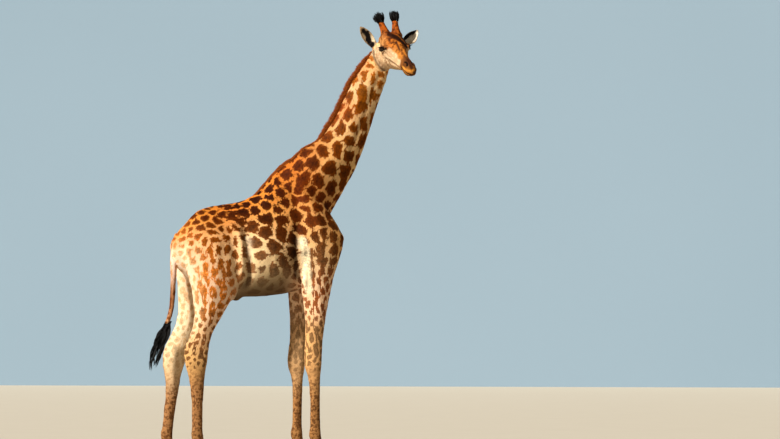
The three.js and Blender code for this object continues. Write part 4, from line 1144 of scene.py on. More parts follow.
    # within a patch, groups of hair 15 mm across are darker
    groups = addNode(tree, "ShaderNodeTexNoise", {"Scale": 66.0, "Detail": 2.0},
                     {"Vector": place}).outputs["Fac"]
    groupTone = addNode(tree, "ShaderNodeMapRange",
                        {"From Min": 0.35, "From Max": 0.65, "To Min": 0.62, "To Max": 1.3},
                        {"Value": groups}).outputs[0]
    patchTone = addNode(tree, "ShaderNodeMix", {2: 1.0}, {0: share, 3: groupTone}).outputs[0]
    tone = addNode(tree, "ShaderNodeMath", {}, {0: tone, 1: patchTone}, operation="MULTIPLY").outputs[0]
    final = addNode(tree, "ShaderNodeVectorMath", {}, {0: mixed, "Scale": tone},
                    operation="SCALE").outputs[0]
    tree.links.new(final, shader.inputs["Base Color"])
    shader.inputs["Roughness"].default_value = 0.62 if hairy else 0.74
    shader.inputs["Specular IOR Level"].default_value = 0.06
    if not hairy:
        bump = addNode(tree, "ShaderNodeBump", {"Strength": 0.35, "Distance": 0.0018}, {"Height": hairs})
        tree.links.new(bump.outputs[0], shader.inputs["Normal"])
    return material


skinMaterial = coatMaterial("short giraffe hair over hide", False)
storeValues(skin.data, markings)
skin.data.materials.append(skinMaterial)
makeActive(skin)
bpy.ops.object.shade_smooth()


# Hair: three-sided tapering strands, many to a mesh.

# Each strand runs through its own row of points (mm) and ends in a tip. It lies flat along
# side and is raised along rise. Values are given per strand and shade runs from root to tip.
def buildStrands(name, lines, widths, side, rise, values=None, spots=None, high=0.36):
    strands, rings = lines.shape[0], lines.shape[1] - 1
    each = rings * 3 + 1
    points = np.empty((strands, each, 3))
    for ring in range(rings):
        half = (widths[:, ring] / 2)[:, None]
        points[:, ring * 3] = lines[:, ring] - side * half
        points[:, ring * 3 + 1] = lines[:, ring] + side * half
        points[:, ring * 3 + 2] = lines[:, ring] + rise * half * 2 * high
    points[:, -1] = lines[:, -1]
    pattern = [(0, 2, 1)]
    for ring in range(rings - 1):
        a, b = ring * 3, ring * 3 + 3
        for i, j in ((0, 1), (1, 2), (2, 0)):
            pattern += [(a + i, a + j, b + j), (a + i, b + j, b + i)]
    a = rings * 3 - 3
    pattern += [(a, a + 1, each - 1), (a + 1, a + 2, each - 1), (a + 2, a, each - 1)]
    pattern = np.array(pattern)
    faces = (pattern[None] + (np.arange(strands) * each)[:, None, None]).reshape(-1, 3)

    mesh = bpy.data.meshes.new(name)
    mesh.vertices.add(strands * each)
    mesh.vertices.foreach_set("co", toScene(points.reshape(-1, 3)).astype(np.float32).ravel())
    mesh.loops.add(faces.size)
    mesh.loops.foreach_set("vertex_index", faces.astype(np.int32).ravel())
    mesh.polygons.add(len(faces))
    mesh.polygons.foreach_set("loop_start", np.arange(0, faces.size, 3, dtype=np.int32))
    mesh.update(calc_edges=True)
    piece = bpy.data.objects.new(name, mesh)
    bpy.context.scene.collection.objects.link(piece)

    run = np.append(np.repeat(np.arange(rings), 3), rings) / rings
    layer = mesh.attributes.new("shade", "FLOAT", "POINT")
    layer.data.foreach_set("value", np.tile(run, strands).astype(np.float32))
    if values:
        storeValues(mesh, {key: np.repeat(value, each, axis=0) for key, value in values.items()})
    if spots is not None:  # each strand's own small patch, at its root's place on the unwrap
        corner = np.tile(np.array([[-1, -1], [1, -1], [0, -1]]) * 0.0015, (rings, 1))
        corner = np.vstack([corner, [[0, 1]]]) + 0.0
        corner[:-1, 1] = (np.repeat(np.arange(rings), 3) / rings * 2 - 1) * 0.0015
        corner[:-1:3, 1] -= 0.0002
        corner[-1] = (0, 0.0015)
        flat = (spots[:, None, :] + corner[None]).reshape(-1, 2)
        layer = mesh.uv_layers.new(name="OFBake")
        layer.data.foreach_set("uv", flat[faces.ravel()].astype(np.float32).ravel())
    makeActive(piece)
    bpy.ops.object.shade_smooth()
    return piece


def dress(piece, material, replaced=()):
    piece.data.materials.clear()
    piece.data.materials.append(material)
    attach(piece, "root")
    if replaced:
        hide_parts(*replaced)
    print("made", piece.name, len(piece.data.polygons))
    return piece


# The coat: tufts over the skin that carry its markings.

# Hand 1 keeps the animal's left side of the parts, -1 its right and 0 both.
coatSettings = dict(
    coatTrunkLeft=dict(parts=["trunk"], hand=1, tufts=42000),
    coatTrunkRight=dict(parts=["trunk"], hand=-1, tufts=48000),
    coatNeckLeft=dict(parts=["neck"], hand=1, tufts=38000),
    coatNeckRight=dict(parts=["neck"], hand=-1, tufts=46000),
    coatHead=dict(parts=headNames, hand=0, tufts=49000),
    coatLegsFront=dict(parts=[n for n in legNames if "front" in n], hand=0, tufts=49000),
    coatHindLeft=dict(parts=[n for n in legNames if "hind_left" in n], hand=0, tufts=38000),
    coatHindRight=dict(parts=[n for n in legNames if "hind_right" in n] + ["tail"], hand=0, tufts=49000),
)
neckAxis = unit(np.array([0.42, 0.0, 0.9]))


# Which way the hair lies at each vertex: from nose to poll, down the neck, back along the
# trunk and down the legs, softened where one part meets the next.
def lieOfCoat(mesh):
    body, normals = toBody(readPoints(mesh)), readNormals(mesh)
    lie = np.zeros_like(body)
    for number, name in enumerate(fleshNames):
        mine = parts == number
        if name.startswith("ear"):
            lie[mine] = earFrame(name[4:])[1]
        elif name.startswith("ossicone"):
            lie[mine] = headDirection(hornLean[name[9:]])
        elif name in headNames:
            lie[mine] = headDirection((-1.0, 0, -0.22))
        elif name == "neck":
            lie[mine] = -neckAxis + np.array([-0.2, 0, 0])
        elif name == "trunk":
            lie[mine] = (-0.86, 0, -0.5)
        else:
            lie[mine] = (-0.1, 0, -1)
    chest = easeBetween(560, 800, body[:, 0]) * (body[:, 2] < 2500)
    lie += np.outer(chest, (0.7, 0, -0.7))
    edges = readEdges(mesh)
    count = np.maximum(np.bincount(edges.ravel(), minlength=len(lie)), 1)
    for step in range(10):
        lie = neighbourMean(lie, edges, count)
    lie -= normals * (lie * normals).sum(1)[:, None]
    return unit(lie)


# All in mm: the leg's tuft, what the trunk, neck and nape add to it, and tufts of other parts.
hairSettings = dict(
    length=11, lift=0.6,
    moreLength=11, moreLift=0.9,
    napeLength=12, napeLift=3,
    cheekLength=11, noseShorter=5.5, faceLift=0.5,
    earLength=11, earLift=0.8,
    tailLength=20, tailLift=1.6,
    width=0.8, widthShare=0.105,  # a tuft is this wide, and this share of its length wider
)


# Length, width and lift of a tuft (mm) at each vertex.
def hairSizes(mesh):
    body = toBody(readPoints(mesh))
    head = bodyToHead(body)
    tall = easeBetween(650, 1700, body[:, 2])
    length = hairSettings["length"] + hairSettings["moreLength"] * tall
    lift = hairSettings["lift"] + hairSettings["moreLift"] * tall
    nape = easeBetween(0.35, 0.9, readNormals(mesh) @ np.array([-0.8, 0, 0.6]))
    nape = nape * (parts == fleshNames.index("neck"))
    length += nape * hairSettings["napeLength"]
    lift += nape * hairSettings["napeLift"]
    behindFace = easeBetween(430, 230, np.linalg.norm(head, axis=1))
    length, lift = length * (1 - 0.42 * behindFace), lift * (1 - 0.5 * behindFace)
    faceLength = hairSettings["cheekLength"] - hairSettings["noseShorter"] * easeBetween(0, 300, head[:, 0])
    length = length * (1 - share) + faceLength * share
    lift = lift * (1 - share) + hairSettings["faceLift"] * share
    ears = np.isin(parts, [fleshNames.index("ear_left"), fleshNames.index("ear_right")])
    tail = parts == fleshNames.index("tail")
    for mine, name in ((ears, "ear"), (tail, "tail")):
        length = np.where(mine, hairSettings[name + "Length"], length)
        lift = np.where(mine, hairSettings[name + "Lift"], lift)
    width = hairSettings["width"] + length * hairSettings["widthShare"]
    return length, width, lift


# Unwraps of the skin's own shape: each part rolled off round its own axis.
def rollOff(body, owner):
    spots = np.zeros((len(body), 2))
    head = bodyToHead(body)
    for number, name in enumerate(fleshNames):
        mine = owner == number
        p, h = body[mine], head[mine]
        column, columns = 0, 1
        if name == "trunk":
            angle, run = np.arctan2(p[:, 1], 1950 - p[:, 2]), (p[:, 0] + 760) / 1640
        elif name == "neck":
            along = (p - np.array([600, 0, 2400])) @ neckAxis
            angle, run = np.arctan2(p[:, 1], p[:, 0] - 600 - along * neckAxis[0]), (along + 200) / 2000
        elif name in ("head", "lower_jaw"):
            angle, run = np.arctan2(h[:, 1], -40 - h[:, 2]), (h[:, 0] + 240) / 700 * 0.6
        elif name.startswith("ear") or name.startswith("ossicone"):
            kind = headNames[2:].index(name)
            if name.startswith("ear"):
                base, axis, across, mouth = earFrame(name[4:])
                angle = np.arctan2((p - base) @ across, (p - base) @ mouth)
                run = 0.64 + 0.34 * ((p - base) @ axis + 40) / 290
            else:
                axis = headDirection(hornLean[name[9:]])
                base = headToBody(mirrored(hornFoot, 1 if name.endswith("left") else -1))
                offset = p - base - np.outer((p - base) @ axis, axis)
                angle = np.arctan2(offset[:, 1], offset[:, 0])
                run = 0.64 + 0.34 * ((p - base) @ axis + 30) / 260
            column, columns = kind, 4
        elif name == "tail":
            angle, run = np.arctan2(p[:, 1] + 8, p[:, 0] + 730), (p[:, 2] - 1100) / 1000
            column, columns = 2, 3
        else:
            side = 1 if "left" in name else -1
            middle = np.median(p[:, 0]) if len(p) else 0
            angle = np.arctan2(p[:, 1] - side * 175, p[:, 0] - middle)
            run = p[:, 2] / 2350
            column, columns = (0 if side > 0 else 1), (2 if "front" in name else 3)
        wide = (angle / (2 * math.pi) + 0.5 + column) / columns
        spots[mine] = np.stack([wide, np.clip(run, 0, 1)], 1)
    return spots * 0.98 + 0.01


# A tuft is lit like the skin it lies on, only a little more to its own left and right.
def softenNormals(mesh, normal, side):
    around = np.stack([normal - side * 0.4, normal + side * 0.4, normal, normal], 1)
    mesh.normals_split_custom_set_from_vertices(unit(around).reshape(-1, 3))


def growCoat(mesh, material):
    body, normals = toBody(readPoints(mesh)), readNormals(mesh)
    lie = lieOfCoat(mesh)
    length, width, lift = hairSizes(mesh)
    corners = np.empty(len(mesh.polygons) * 3, np.int32)
    mesh.polygons.foreach_get("vertices", corners)
    corners = corners.reshape(-1, 3)
    owner = parts[corners[:, 0]]
    a, b, c = (body[corners[:, k]] for k in range(3))
    area = np.linalg.norm(np.cross(b - a, c - a), axis=1) / 2
    eyeClear = np.ones(len(corners), bool)
    middle = bodyToHead((a + b + c) / 3)
    for hand in (1, -1):
        centre, out, along, rise = eyeFrame(hand)
        offset = middle - centre
        near = (np.linalg.norm(offset, axis=1) < 58) & (offset @ out > 0)
        eyeClear &= ~(near & (lidEdge(offset, out, along, rise) > -3.5))
        eyeClear &= nearness(middle, mirrored([(330, 33, 14), (352, 29, 20), (374, 28, 14)], hand), 7) < 0.5
    for name, settings in coatSettings.items():
        chance = np.random.default_rng(len(name) * 7 + settings["tufts"])
        numbers = [fleshNames.index(part) for part in settings["parts"]]
        weight = area * np.isin(owner, numbers) * eyeClear
        if settings["hand"]:
            weight = weight * ((a + b + c)[:, 1] * settings["hand"] >= 0)
        weight = weight / length[corners[:, 0]] ** 0.8  # short hair stands closer
        tufts = settings["tufts"] // 1
        chosen = chance.choice(len(corners), tufts, p=weight / weight.sum())
        mix = chance.dirichlet((1, 1, 1), tufts)
        at = corners[chosen]

        def blend(values):
            if values.ndim == 1:
                return (values[at] * mix).sum(1)
            return (values[at] * mix[:, :, None]).sum(1)

        root, normal = blend(body), unit(blend(normals))
        lay = unit(blend(lie) + chance.normal(0, 0.16, (tufts, 3)))
        lay = unit(lay - normal * (lay * normal).sum(1)[:, None])
        side = np.cross(normal, lay)
        long = (blend(length) * chance.uniform(0.7, 1.25, tufts))[:, None]
        high = (blend(lift) * chance.uniform(0.5, 1.3, tufts))[:, None]
        wide = blend(width) * chance.uniform(0.75, 1.2, tufts)
        start = root - lay * long * 0.45  # the place is the tuft's middle, so edges of patches stay crisp
        lines = np.stack([start - normal * 0.7, start + lay * long + normal * high], 1)
        values = {key: blend(markings[key]) for key in markings}
        tone = (1 + chance.normal(0, 0.07, tufts))[:, None]
        values["ground"], values["patch"] = values["ground"] * tone, values["patch"] * tone
        piece = buildStrands(name, lines, wide[:, None], side, normal, values, rollOff(root, owner[chosen]),
                             high=0.4)
        softenNormals(piece.data, normal, side)
        dress(piece, material)


coatHair = coatMaterial("short giraffe hair in tufts", True)
growCoat(skin.data, coatHair)
skinTree = BVHTree.FromObject(skin, bpy.context.evaluated_depsgraph_get())


# Coarse giraffe hair: slightly glossy along its length, paler at the root than at the tip.
def strandMaterial(name, root, tip, roughness, shine):
    material, tree, shader = newMaterial(name)
    place = addNode(tree, "ShaderNodeTexCoord").outputs["Object"]
    run = addNode(tree, "ShaderNodeAttribute", attribute_name="shade").outputs["Fac"]
    colour = addNode(tree, "ShaderNodeMix", {6: (*linear(root), 1), 7: (*linear(tip), 1)}, {0: run},
                     data_type="RGBA").outputs[2]
    locks = addNode(tree, "ShaderNodeTexNoise", {"Scale": 70.0, "Detail": 2.0},
                    {"Vector": place}).outputs["Fac"]
    tone = addNode(tree, "ShaderNodeMapRange",
                   {"From Min": 0.3, "From Max": 0.7, "To Min": 0.65, "To Max": 1.35},
                   {"Value": locks}).outputs[0]
    final = addNode(tree, "ShaderNodeVectorMath", {}, {0: colour, "Scale": tone},
                    operation="SCALE").outputs[0]
    tree.links.new(final, shader.inputs["Base Color"])
    shader.inputs["Roughness"].default_value = roughness
    shader.inputs["Specular IOR Level"].default_value = shine
    return material


# The mane: stiff upright hair from poll to withers, falling back along the ridge.

maneSettings = dict(
    line=[(60, 0, 2420), (250, 0, 2660), (420, 0, 2790), (560, 0, 2880), (640, 0, 2960), (720, 0, 3080),
          (830, 0, 3290), (925, 0, 3500), (1040, 0, 3680), (1110, 0, 3775), (1150, 0, 3826)],
    strands=6500,
    halfThickness=20,
    height=52,
)


def makeMane():
    guide = np.array(maneSettings["line"], float)
    reach = np.append(0, np.cumsum(np.linalg.norm(np.diff(guide, axis=0), axis=1)))
    chance = np.random.default_rng(5)
    count = maneSettings["strands"] // 1
    place = np.sort(chance.uniform(0, reach[-1], count))
    at = np.stack([np.interp(place, reach, guide[:, k]) for k in range(3)], 1)
    ahead = np.stack([np.interp(place + 40, reach, guide[:, k]) for k in range(3)], 1)
    behind = np.stack([np.interp(place - 40, reach, guide[:, k]) for k in range(3)], 1)
    run = unit(ahead - behind)
    up = np.stack([-run[:, 2], np.zeros(count), run[:, 0]], 1)
    off = chance.uniform(-1, 1, count) * maneSettings["halfThickness"]
    roots, kept = [], []
    for i in range(count):
        start = at[i] + up[i] * 220 + np.array([0, off[i], 0])
        hit = skinTree.ray_cast(Vector(toScene(start)), Vector(-up[i]))
        if hit[0] is not None and abs(np.linalg.norm(toBody(np.array(hit[0])) - start) - 220) < 150:
            kept.append(i)
            roots.append(toBody(np.array(hit[0])))
    roots = np.array(roots)
    run, up, off, place = run[kept], up[kept], off[kept], place[kept]
    count = len(roots)
    ridge = easeBetween(760, 980, place)  # 0 along the back, 1 up the neck
    end = 1 - easeBetween(reach[-1] - 130, reach[-1], place) * 0.7
    tuftTone = 1 + 0.05 * np.sin(place / 17) + 0.04 * np.sin(place / 7.3 + 1)
    tall = (22 + 8 * easeBetween(300, 700, place)) * (1 - ridge) + maneSettings["height"] * ridge
    tall = tall * end * tuftTone * chance.uniform(0.72, 1.08, count)
    tall *= 1 - 0.25 * (np.abs(off) / maneSettings["halfThickness"]) ** 2
    lean = (0.85 - 0.55 * ridge)[:, None]
    way = unit(up * (1 - lean * 0.55) - run * lean + np.stack([0 * off, off / 60, 0 * off], 1)
               + chance.normal(0, 0.07, (count, 3)))
    side = unit(np.cross(way, np.array([0, 1.0, 0.0])) + chance.normal(0, 0.5, (count, 3)))
    side = unit(side - way * (side * way).sum(1)[:, None])
    rise = np.cross(way, side)
    curl = -run * 0.12 + chance.normal(0, 0.03, (count, 3))
    length = tall[:, None]
    lines = np.stack([roots - up * 3, roots + way * length * 0.4,
                      roots + way * length * 0.75 + curl * length * 0.5,
                      roots + way * length + curl * length * 1.2], 1)
    wide = chance.uniform(2.6, 4.4, count)
    widths = np.stack([wide, wide, wide * 0.7], 1)
    return buildStrands("maneHair", lines, widths, -side, rise, high=0.5)


maneMaterial = strandMaterial("coarse red-brown mane hair", "#b3601f", "#76360e", 0.6, 0.12)
dress(makeMane(), maneMaterial, ["mane"])

# The black brushes on the horns, the tail's tuft and the lashes.

brushSettings = dict(locks=44, hairs=30, spread=dict(left=0.78, right=1.0))


# Locks of hair that spread from the horn's end and bend up, each closing to a point.
def makeBrush(side):
    hand = 1 if side == "left" else -1
    chance = np.random.default_rng(11 + hand)
    axis = headDirection(hornLean[side])
    base = headToBody(np.array(hornFoot) * np.array([1, hand, 1]))
    first = unit(np.cross(axis, (0, 0, 1.0)))
    second = np.cross(axis, first)
    locks, hairs = brushSettings["locks"], brushSettings["hairs"]
    turn = np.repeat(np.arange(locks) * 2.4 + chance.uniform(-0.3, 0.3, locks), hairs)
    high = np.repeat(np.linspace(0.62, 1.0, locks) ** 0.8, hairs)
    reach = np.repeat(chance.uniform(0.7, 1.14, locks), hairs) * brushSettings["spread"][side]
    top = np.repeat(chance.uniform(1.02, 1.2, locks), hairs)
    count = locks * hairs
    out = np.outer(np.cos(turn), first) + np.outer(np.sin(turn), second)
    cap = np.clip((1.02 - high) / 0.2, 0.15, 1)  # locks from the very end start nearer its middle
    root = base + np.outer(high * hornLength - 5, axis) + out * (23 * cap)[:, None]
    root += chance.normal(0, 3.2, (count, 3))
    tip = base + np.outer(top * hornLength * chance.uniform(0.93, 1.03, count), axis)
    tip += out * (reach * (14 + 32 * cap))[:, None] + chance.normal(0, 3.4, (count, 3))
    belly = out * (reach * 13 * cap)[:, None]
    lines = np.stack([root, root + (tip - root) * 0.35 + belly,
                      root + (tip - root) * 0.7 + belly * 0.9, tip], 1)
    way = unit(tip - root)
    side = unit(np.cross(way, out) + 1e-6)
    wide = chance.uniform(2.6, 4.0, count)
    widths = np.stack([wide, wide, wide * 0.7], 1)
    name = "hornBrush_" + ("left" if hand > 0 else "right")
    return buildStrands(name, lines, widths, side, np.cross(side, way), high=0.5)


blackHair = strandMaterial("coarse black hair", "#0c0807", "#050403", 0.5, 0.2)
for side in ("left", "right"):
    dress(makeBrush(side), blackHair, ["ossicone_brush_" + side])

tuftSettings = dict(
    line=[(-770, -16, 1262), (-796, -19, 1185), (-832, -24, 1092), (-866, -28, 1000), (-898, -32, 900),
          (-926, -34, 806)],
    spread=[14, 44, 62, 60, 46, 34],
    locks=26,
    hairs=34,
    steps=9,
)


# The tail ends in long wavy locks that part from each other towards their ends.
def makeTailTuft():
    guide, spread = np.array(tuftSettings["line"], float), np.array(tuftSettings["spread"], float)
    chance = np.random.default_rng(23)
    locks, hairs, steps = tuftSettings["locks"], tuftSettings["hairs"], tuftSettings["steps"]
    count = locks * hairs

    def perLock(low, high):
        return np.repeat(chance.uniform(low, high, locks), hairs)

    start, finish = perLock(0.0, 0.25), perLock(0.5, 1.04)
    turn, ring = perLock(0, 2 * math.pi), np.sqrt(perLock(0.1, 1))
    wave, phase = perLock(0.8, 1.8), perLock(0, 6.28)
    own = chance.normal(0, 1, (count, 2))
    finish = finish * chance.uniform(0.86, 1.0, count)
    rows = np.linspace(0, 1, len(guide))
    lines = np.empty((count, steps + 1, 3))
    for step in range(steps + 1):
        t = start + (finish - start) * step / steps
        middle = np.stack([np.interp(t, rows, guide[:, k]) for k in range(3)], 1)
        wide = np.interp(t, rows, spread) * ring * (0.3 + 0.7 * min(1, step / 3))
        swing = turn + 0.35 * np.sin(wave * t * 5 + phase)
        loose = 8 - 5.5 * step / steps
        # a lock waves by about a centimetre, and its hairs stray a little from each other
        waveX, waveY = 11 * np.sin(wave * t * 9 + phase), 9 * np.cos(wave * t * 8 + phase)
        lines[:, step, 0] = middle[:, 0] + np.cos(swing) * wide + waveX + own[:, 0] * loose
        lines[:, step, 1] = middle[:, 1] + np.sin(swing) * wide * 0.8 + waveY + own[:, 1] * loose
        lines[:, step, 2] = middle[:, 2]
    way = unit(lines[:, -1] - lines[:, 0])
    side = unit(np.cross(way, np.stack([np.cos(turn), np.sin(turn), 0 * turn], 1)))
    wide = chance.uniform(3.4, 5.6, count)[:, None] * np.linspace(1, 0.45, steps)[None]
    return buildStrands("tailTuft", lines, wide, side, np.cross(side, way), high=0.5)


dress(makeTailTuft(), blackHair, ["tail_tuft"])


lashSettings = dict(
    upper=dict(count=64, length=25, droop=-0.35, curl=0.28),
    lower=dict(count=26, length=11, droop=-0.5, curl=-0.2),
)


# Two rows of single hairs, which stand along the lids' edges and get shorter towards the front.
def makeLashes():
    lines, sides, rises = [], [], []
    chance = np.random.default_rng(31)
    halfWidth = eyeSettings["halfWidth"]
    for hand in (1, -1):
        centre, out, along, rise = eyeFrame(hand)
        for edge, row in lashSettings.items():
            for k in range(row["count"]):
                across = (-0.9 + 1.45 * (k + chance.uniform(0, 0.8)) / row["count"]) * halfWidth * 0.96
                bow = 1 - abs(across / halfWidth) ** 2.1
                height = (eyeSettings[edge] * bow + 2) * (1 if edge == "upper" else -1)
                height += eyeSettings["lift"] + across * eyeSettings["tilt"]
                a, h = math.radians(across), math.radians(height)
                way = unit(out + along * math.tan(a) + rise * math.tan(h))
                root = centre + way * (eyeSettings["radius"] + 2.6)
                grow = way * 0.8 + out * 0.6 + rise * (row["droop"] + chance.normal(0, 0.1))
                grow = unit(grow + along * chance.normal(0, 0.12))
                size = row["length"] * chance.uniform(0.75, 1.15) * (0.6 + 0.4 * bow)
                size *= 1 - 0.5 * easeBetween(0, 45, across)
                curl = rise * row["curl"]
                path = [root - way * 2, root + grow * size * 0.45, root + grow * size + curl * size * 0.5]
                lines.append(headToBody(np.array(path)))
                flat = unit(np.cross(grow, rise))
                sides.append(headDirection(flat))
                rises.append(np.cross(headDirection(grow), headDirection(flat)) * -1)
    lines = np.array(lines)
    widths = np.tile([2.0, 1.5], (len(lines), 1))
    return buildStrands("lashes", lines, widths, np.array(sides), np.array(rises), high=0.5)


dress(makeLashes(), blackHair)

# Eyes and hooves.

# A giraffe's eye: very dark brown iris, a black pupil that lies level, and a wet clear front.
def eyeMaterial():
    material, tree, shader = newMaterial("wet dark brown eye")
    across = addNode(tree, "ShaderNodeAttribute", attribute_name="across").outputs["Fac"]
    rise = addNode(tree, "ShaderNodeAttribute", attribute_name="rise").outputs["Fac"]
    wide = addNode(tree, "ShaderNodeMath", {1: 0.62}, {0: across}, operation="MULTIPLY").outputs[0]
    flat = addNode(tree, "ShaderNodeCombineXYZ", {}, {"X": wide, "Y": rise}).outputs[0]
    away = addNode(tree, "ShaderNodeVectorMath", {}, {0: flat}, operation="LENGTH").outputs["Value"]
    pupil = addNode(tree, "ShaderNodeMapRange", {"From Min": 5.0, "From Max": 6.0},
                    {"Value": away}).outputs[0]
    frontPlace = addNode(tree, "ShaderNodeCombineXYZ", {}, {"X": across, "Y": rise}).outputs[0]
    reach = addNode(tree, "ShaderNodeVectorMath", {}, {0: frontPlace}, operation="LENGTH").outputs["Value"]
    edge = addNode(tree, "ShaderNodeMapRange", {"From Min": 17.0, "From Max": 20.0},
                   {"Value": reach}).outputs[0]
    streaks = addNode(tree, "ShaderNodeTexNoise", {"Scale": 1.3, "Detail": 3.0},
                      {"Vector": frontPlace}).outputs["Fac"]
    iris = addNode(tree, "ShaderNodeMix", {6: (*linear("#150a05"), 1), 7: (*linear("#2c1609"), 1)},
                   {0: streaks},
                   data_type="RGBA").outputs[2]
    ball = addNode(tree, "ShaderNodeMix", {6: (*linear("#060404"), 1)}, {0: pupil, 7: iris},
                   data_type="RGBA").outputs[2]
    final = addNode(tree, "ShaderNodeMix", {7: (*linear("#1b0f0b"), 1)}, {0: edge, 6: ball},
                    data_type="RGBA").outputs[2]
    tree.links.new(final, shader.inputs["Base Color"])
    shader.inputs["Roughness"].default_value = 0.06
    shader.inputs["IOR"].default_value = 1.3
    shader.inputs["Coat Weight"].default_value = 0.2
    shader.inputs["Coat Roughness"].default_value = 0.02
    return material


def makeEye(side, material):
    hand = 1 if side == "left" else -1
    centre, out, along, rise = eyeFrame(hand)
    deselectAll()
    bpy.ops.mesh.primitive_uv_sphere_add(segments=48, ring_count=32, radius=eyeSettings["radius"] / 1000,
                                         location=toScene(headToBody(centre)))
    eye = bpy.context.object
    eye.name = "eyeball_" + side
    bpy.ops.object.transform_apply(location=True, rotation=True, scale=True)
    points = readPoints(eye.data)
    offset = bodyToHead(toBody(points)) - centre
    facing = unit(offset) @ out
    offset *= (1 + 0.035 * easeBetween(0.86, 0.97, facing))[:, None]  # the cornea stands a little proud
    writePoints(eye.data, toScene(headToBody(offset + centre)))
    for key, axis in (("across", along), ("rise", rise)):
        layer = eye.data.attributes.new(key, "FLOAT", "POINT")
        layer.data.foreach_set("value", (np.where(facing > 0, offset @ axis, 40)).astype(np.float32))
    bpy.ops.object.shade_smooth()
    return dress(eye, material, ["eye_" + side])


eyeFinish = eyeMaterial()
for side in ("left", "right"):
    makeEye(side, eyeFinish)


# Hoof horn: dark grey-brown keratin with level growth rings 10 mm apart, dusty towards the sole.
def hoofMaterial():
    material, tree, shader = newMaterial("hoof horn, dusty")
    place = addNode(tree, "ShaderNodeTexCoord").outputs["Object"]
    rings = addNode(tree, "ShaderNodeTexWave",
                    {"Scale": 32.0, "Distortion": 2.2, "Detail": 2.0, "Detail Scale": 1.4},
                    {"Vector": place}, bands_direction="Z").outputs["Fac"]
    grain = addNode(tree, "ShaderNodeTexNoise", {"Scale": 90.0, "Detail": 4.0},
                    {"Vector": place}).outputs["Fac"]
    height = addNode(tree, "ShaderNodeSeparateXYZ", {}, {0: place}).outputs["Z"]
    dusty = addNode(tree, "ShaderNodeMapRange",
                    {"From Min": 0.0, "From Max": 0.06, "To Min": 0.75, "To Max": 0.1},
                    {"Value": height}).outputs[0]
    horn = addNode(tree, "ShaderNodeMix", {6: (*linear("#2c211a"), 1), 7: (*linear("#4c3b2d"), 1)},
                   {0: grain},
                   data_type="RGBA").outputs[2]
    final = addNode(tree, "ShaderNodeMix", {7: (*linear("#8a6d4c"), 1)}, {0: dusty, 6: horn},
                    data_type="RGBA").outputs[2]
    tree.links.new(final, shader.inputs["Base Color"])
    bump = addNode(tree, "ShaderNodeBump", {"Strength": 0.5, "Distance": 0.0012}, {"Height": rings})
    tree.links.new(bump.outputs[0], shader.inputs["Normal"])
    shader.inputs["Roughness"].default_value = 0.5
    return material


hoofSettings = dict(
    voxel=0.0035,  # metres
    relax=10,
    soleBelow=0.006,  # what lies below this height in metres is pressed flat on the floor
    keep=0.4,
    sharpAngle=40,
)


def makeHooves():
    names = sorted(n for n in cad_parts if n.startswith("hoof_"))
    hooves = solidCopy(names, "hooves")
    applyModifier(hooves, "REMESH", mode="VOXEL", voxel_size=hoofSettings["voxel"])
    relax(hooves.data, hoofSettings["relax"])
    points = readPoints(hooves.data)
    sole = points[:, 2] < hoofSettings["soleBelow"]
    points[sole, 2] = 0.0
    points[~sole, 2] = np.maximum(points[~sole, 2], 0.0)
    writePoints(hooves.data, points)
    applyModifier(hooves, "DECIMATE", ratio=hoofSettings["keep"])
    bpy.ops.object.shade_smooth_by_angle(angle=math.radians(hoofSettings["sharpAngle"]))
    return dress(hooves, hoofMaterial(), names)


makeHooves()


# Floor, light and camera.

stageSettings = dict(
    floorSize=180.0,  # metres
    backdropAway=80.0,  # metres
    keyFrom=(-0.92, -0.46, 0.72),
    keyStrength=7.0,
    keyAngle=4,  # degrees, which softens the edge of the shadow
    sky="#ece7e0",
    skyStrength=0.15,
    cameraAt=(-6584, -21107, 863),
    cameraYaw=20.648,
    cameraPitch=3.474,
    cameraRoll=-0.172,
    lens=111.37,
)


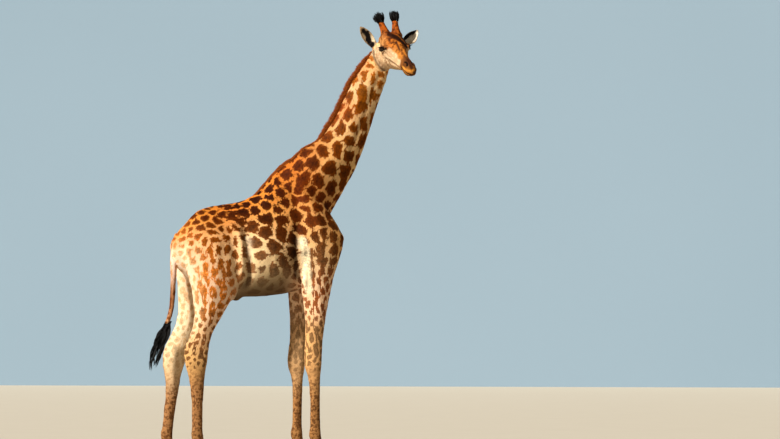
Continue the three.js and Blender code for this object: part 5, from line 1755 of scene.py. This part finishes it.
def makeStage():
    yaw, away = math.radians(stageSettings["cameraYaw"]), stageSettings["backdropAway"]
    deselectAll()
    bpy.ops.mesh.primitive_plane_add(size=stageSettings["floorSize"], location=(0, 0, 0))
    floor = bpy.context.object
    floor.name = "floor"
    material, tree, shader = newMaterial("pale studio floor, matt paint")
    place = addNode(tree, "ShaderNodeTexCoord").outputs["Object"]
    cloud = addNode(tree, "ShaderNodeTexNoise", {"Scale": 1.5, "Detail": 3.0},
                    {"Vector": place}).outputs["Fac"]
    tint = addNode(tree, "ShaderNodeMix", {6: (*linear("#b9ae9b"), 1), 7: (*linear("#bfb4a1"), 1)},
                   {0: cloud},
                   data_type="RGBA").outputs[2]
    tree.links.new(tint, shader.inputs["Base Color"])
    shader.inputs["Roughness"].default_value = 0.8
    floor.data.materials.append(material)

    wallAt = toScene((away * math.sin(yaw) * 1000, away * math.cos(yaw) * 1000, 0))
    bpy.ops.mesh.primitive_plane_add(size=1, location=wallAt, rotation=(math.pi / 2, 0, -yaw))
    backdrop = bpy.context.object
    backdrop.name = "backdrop"
    backdrop.scale = (400, 140, 1)
    bpy.ops.object.transform_apply(location=True, rotation=True, scale=True)
    material, tree, shader = newMaterial("pale studio backdrop, matt paint")
    place = addNode(tree, "ShaderNodeTexCoord").outputs["Object"]
    cloud = addNode(tree, "ShaderNodeTexNoise", {"Scale": 0.05, "Detail": 2.0},
                    {"Vector": place}).outputs["Fac"]
    tint = addNode(tree, "ShaderNodeMix", {6: (*linear("#7b909f"), 1), 7: (*linear("#8599a8"), 1)},
                   {0: cloud},
                   data_type="RGBA").outputs[2]
    tree.links.new(tint, shader.inputs["Base Color"])
    shader.inputs["Roughness"].default_value = 0.9
    backdrop.data.materials.append(material)

    bpy.ops.object.light_add(type="SUN", location=(-6, -5, 8))
    key = bpy.context.object
    key.name = "keyLight"
    key.data.energy = stageSettings["keyStrength"]
    key.data.angle = math.radians(stageSettings["keyAngle"])
    key.data.color = (1.0, 0.965, 0.9)
    key.rotation_euler = Vector(stageSettings["keyFrom"]).to_track_quat("Z", "Y").to_euler()

    world = bpy.data.worlds.new("pale studio")
    bpy.context.scene.world = world
    world.use_nodes = True
    sky = world.node_tree.nodes["Background"]
    sky.inputs["Color"].default_value = (*linear(stageSettings["sky"]), 1)
    sky.inputs["Strength"].default_value = stageSettings["skyStrength"]

    pitch = math.radians(stageSettings["cameraPitch"])
    aim = Vector((math.sin(yaw) * math.cos(pitch), math.cos(yaw) * math.cos(pitch), math.sin(pitch)))
    bpy.ops.object.camera_add(location=toScene(stageSettings["cameraAt"]))
    camera = bpy.context.object
    turn = aim.to_track_quat("-Z", "Y") @ Matrix.Rotation(
        math.radians(-stageSettings["cameraRoll"]), 3, "Z").to_quaternion()
    camera.rotation_euler = turn.to_euler()
    camera.data.lens = stageSettings["lens"]
    camera.data.sensor_width = 36
    camera.data.clip_end = 200
    bpy.context.scene.camera = camera
    bpy.context.scene.view_settings.view_transform = "Standard"


makeStage()
print("stage set")
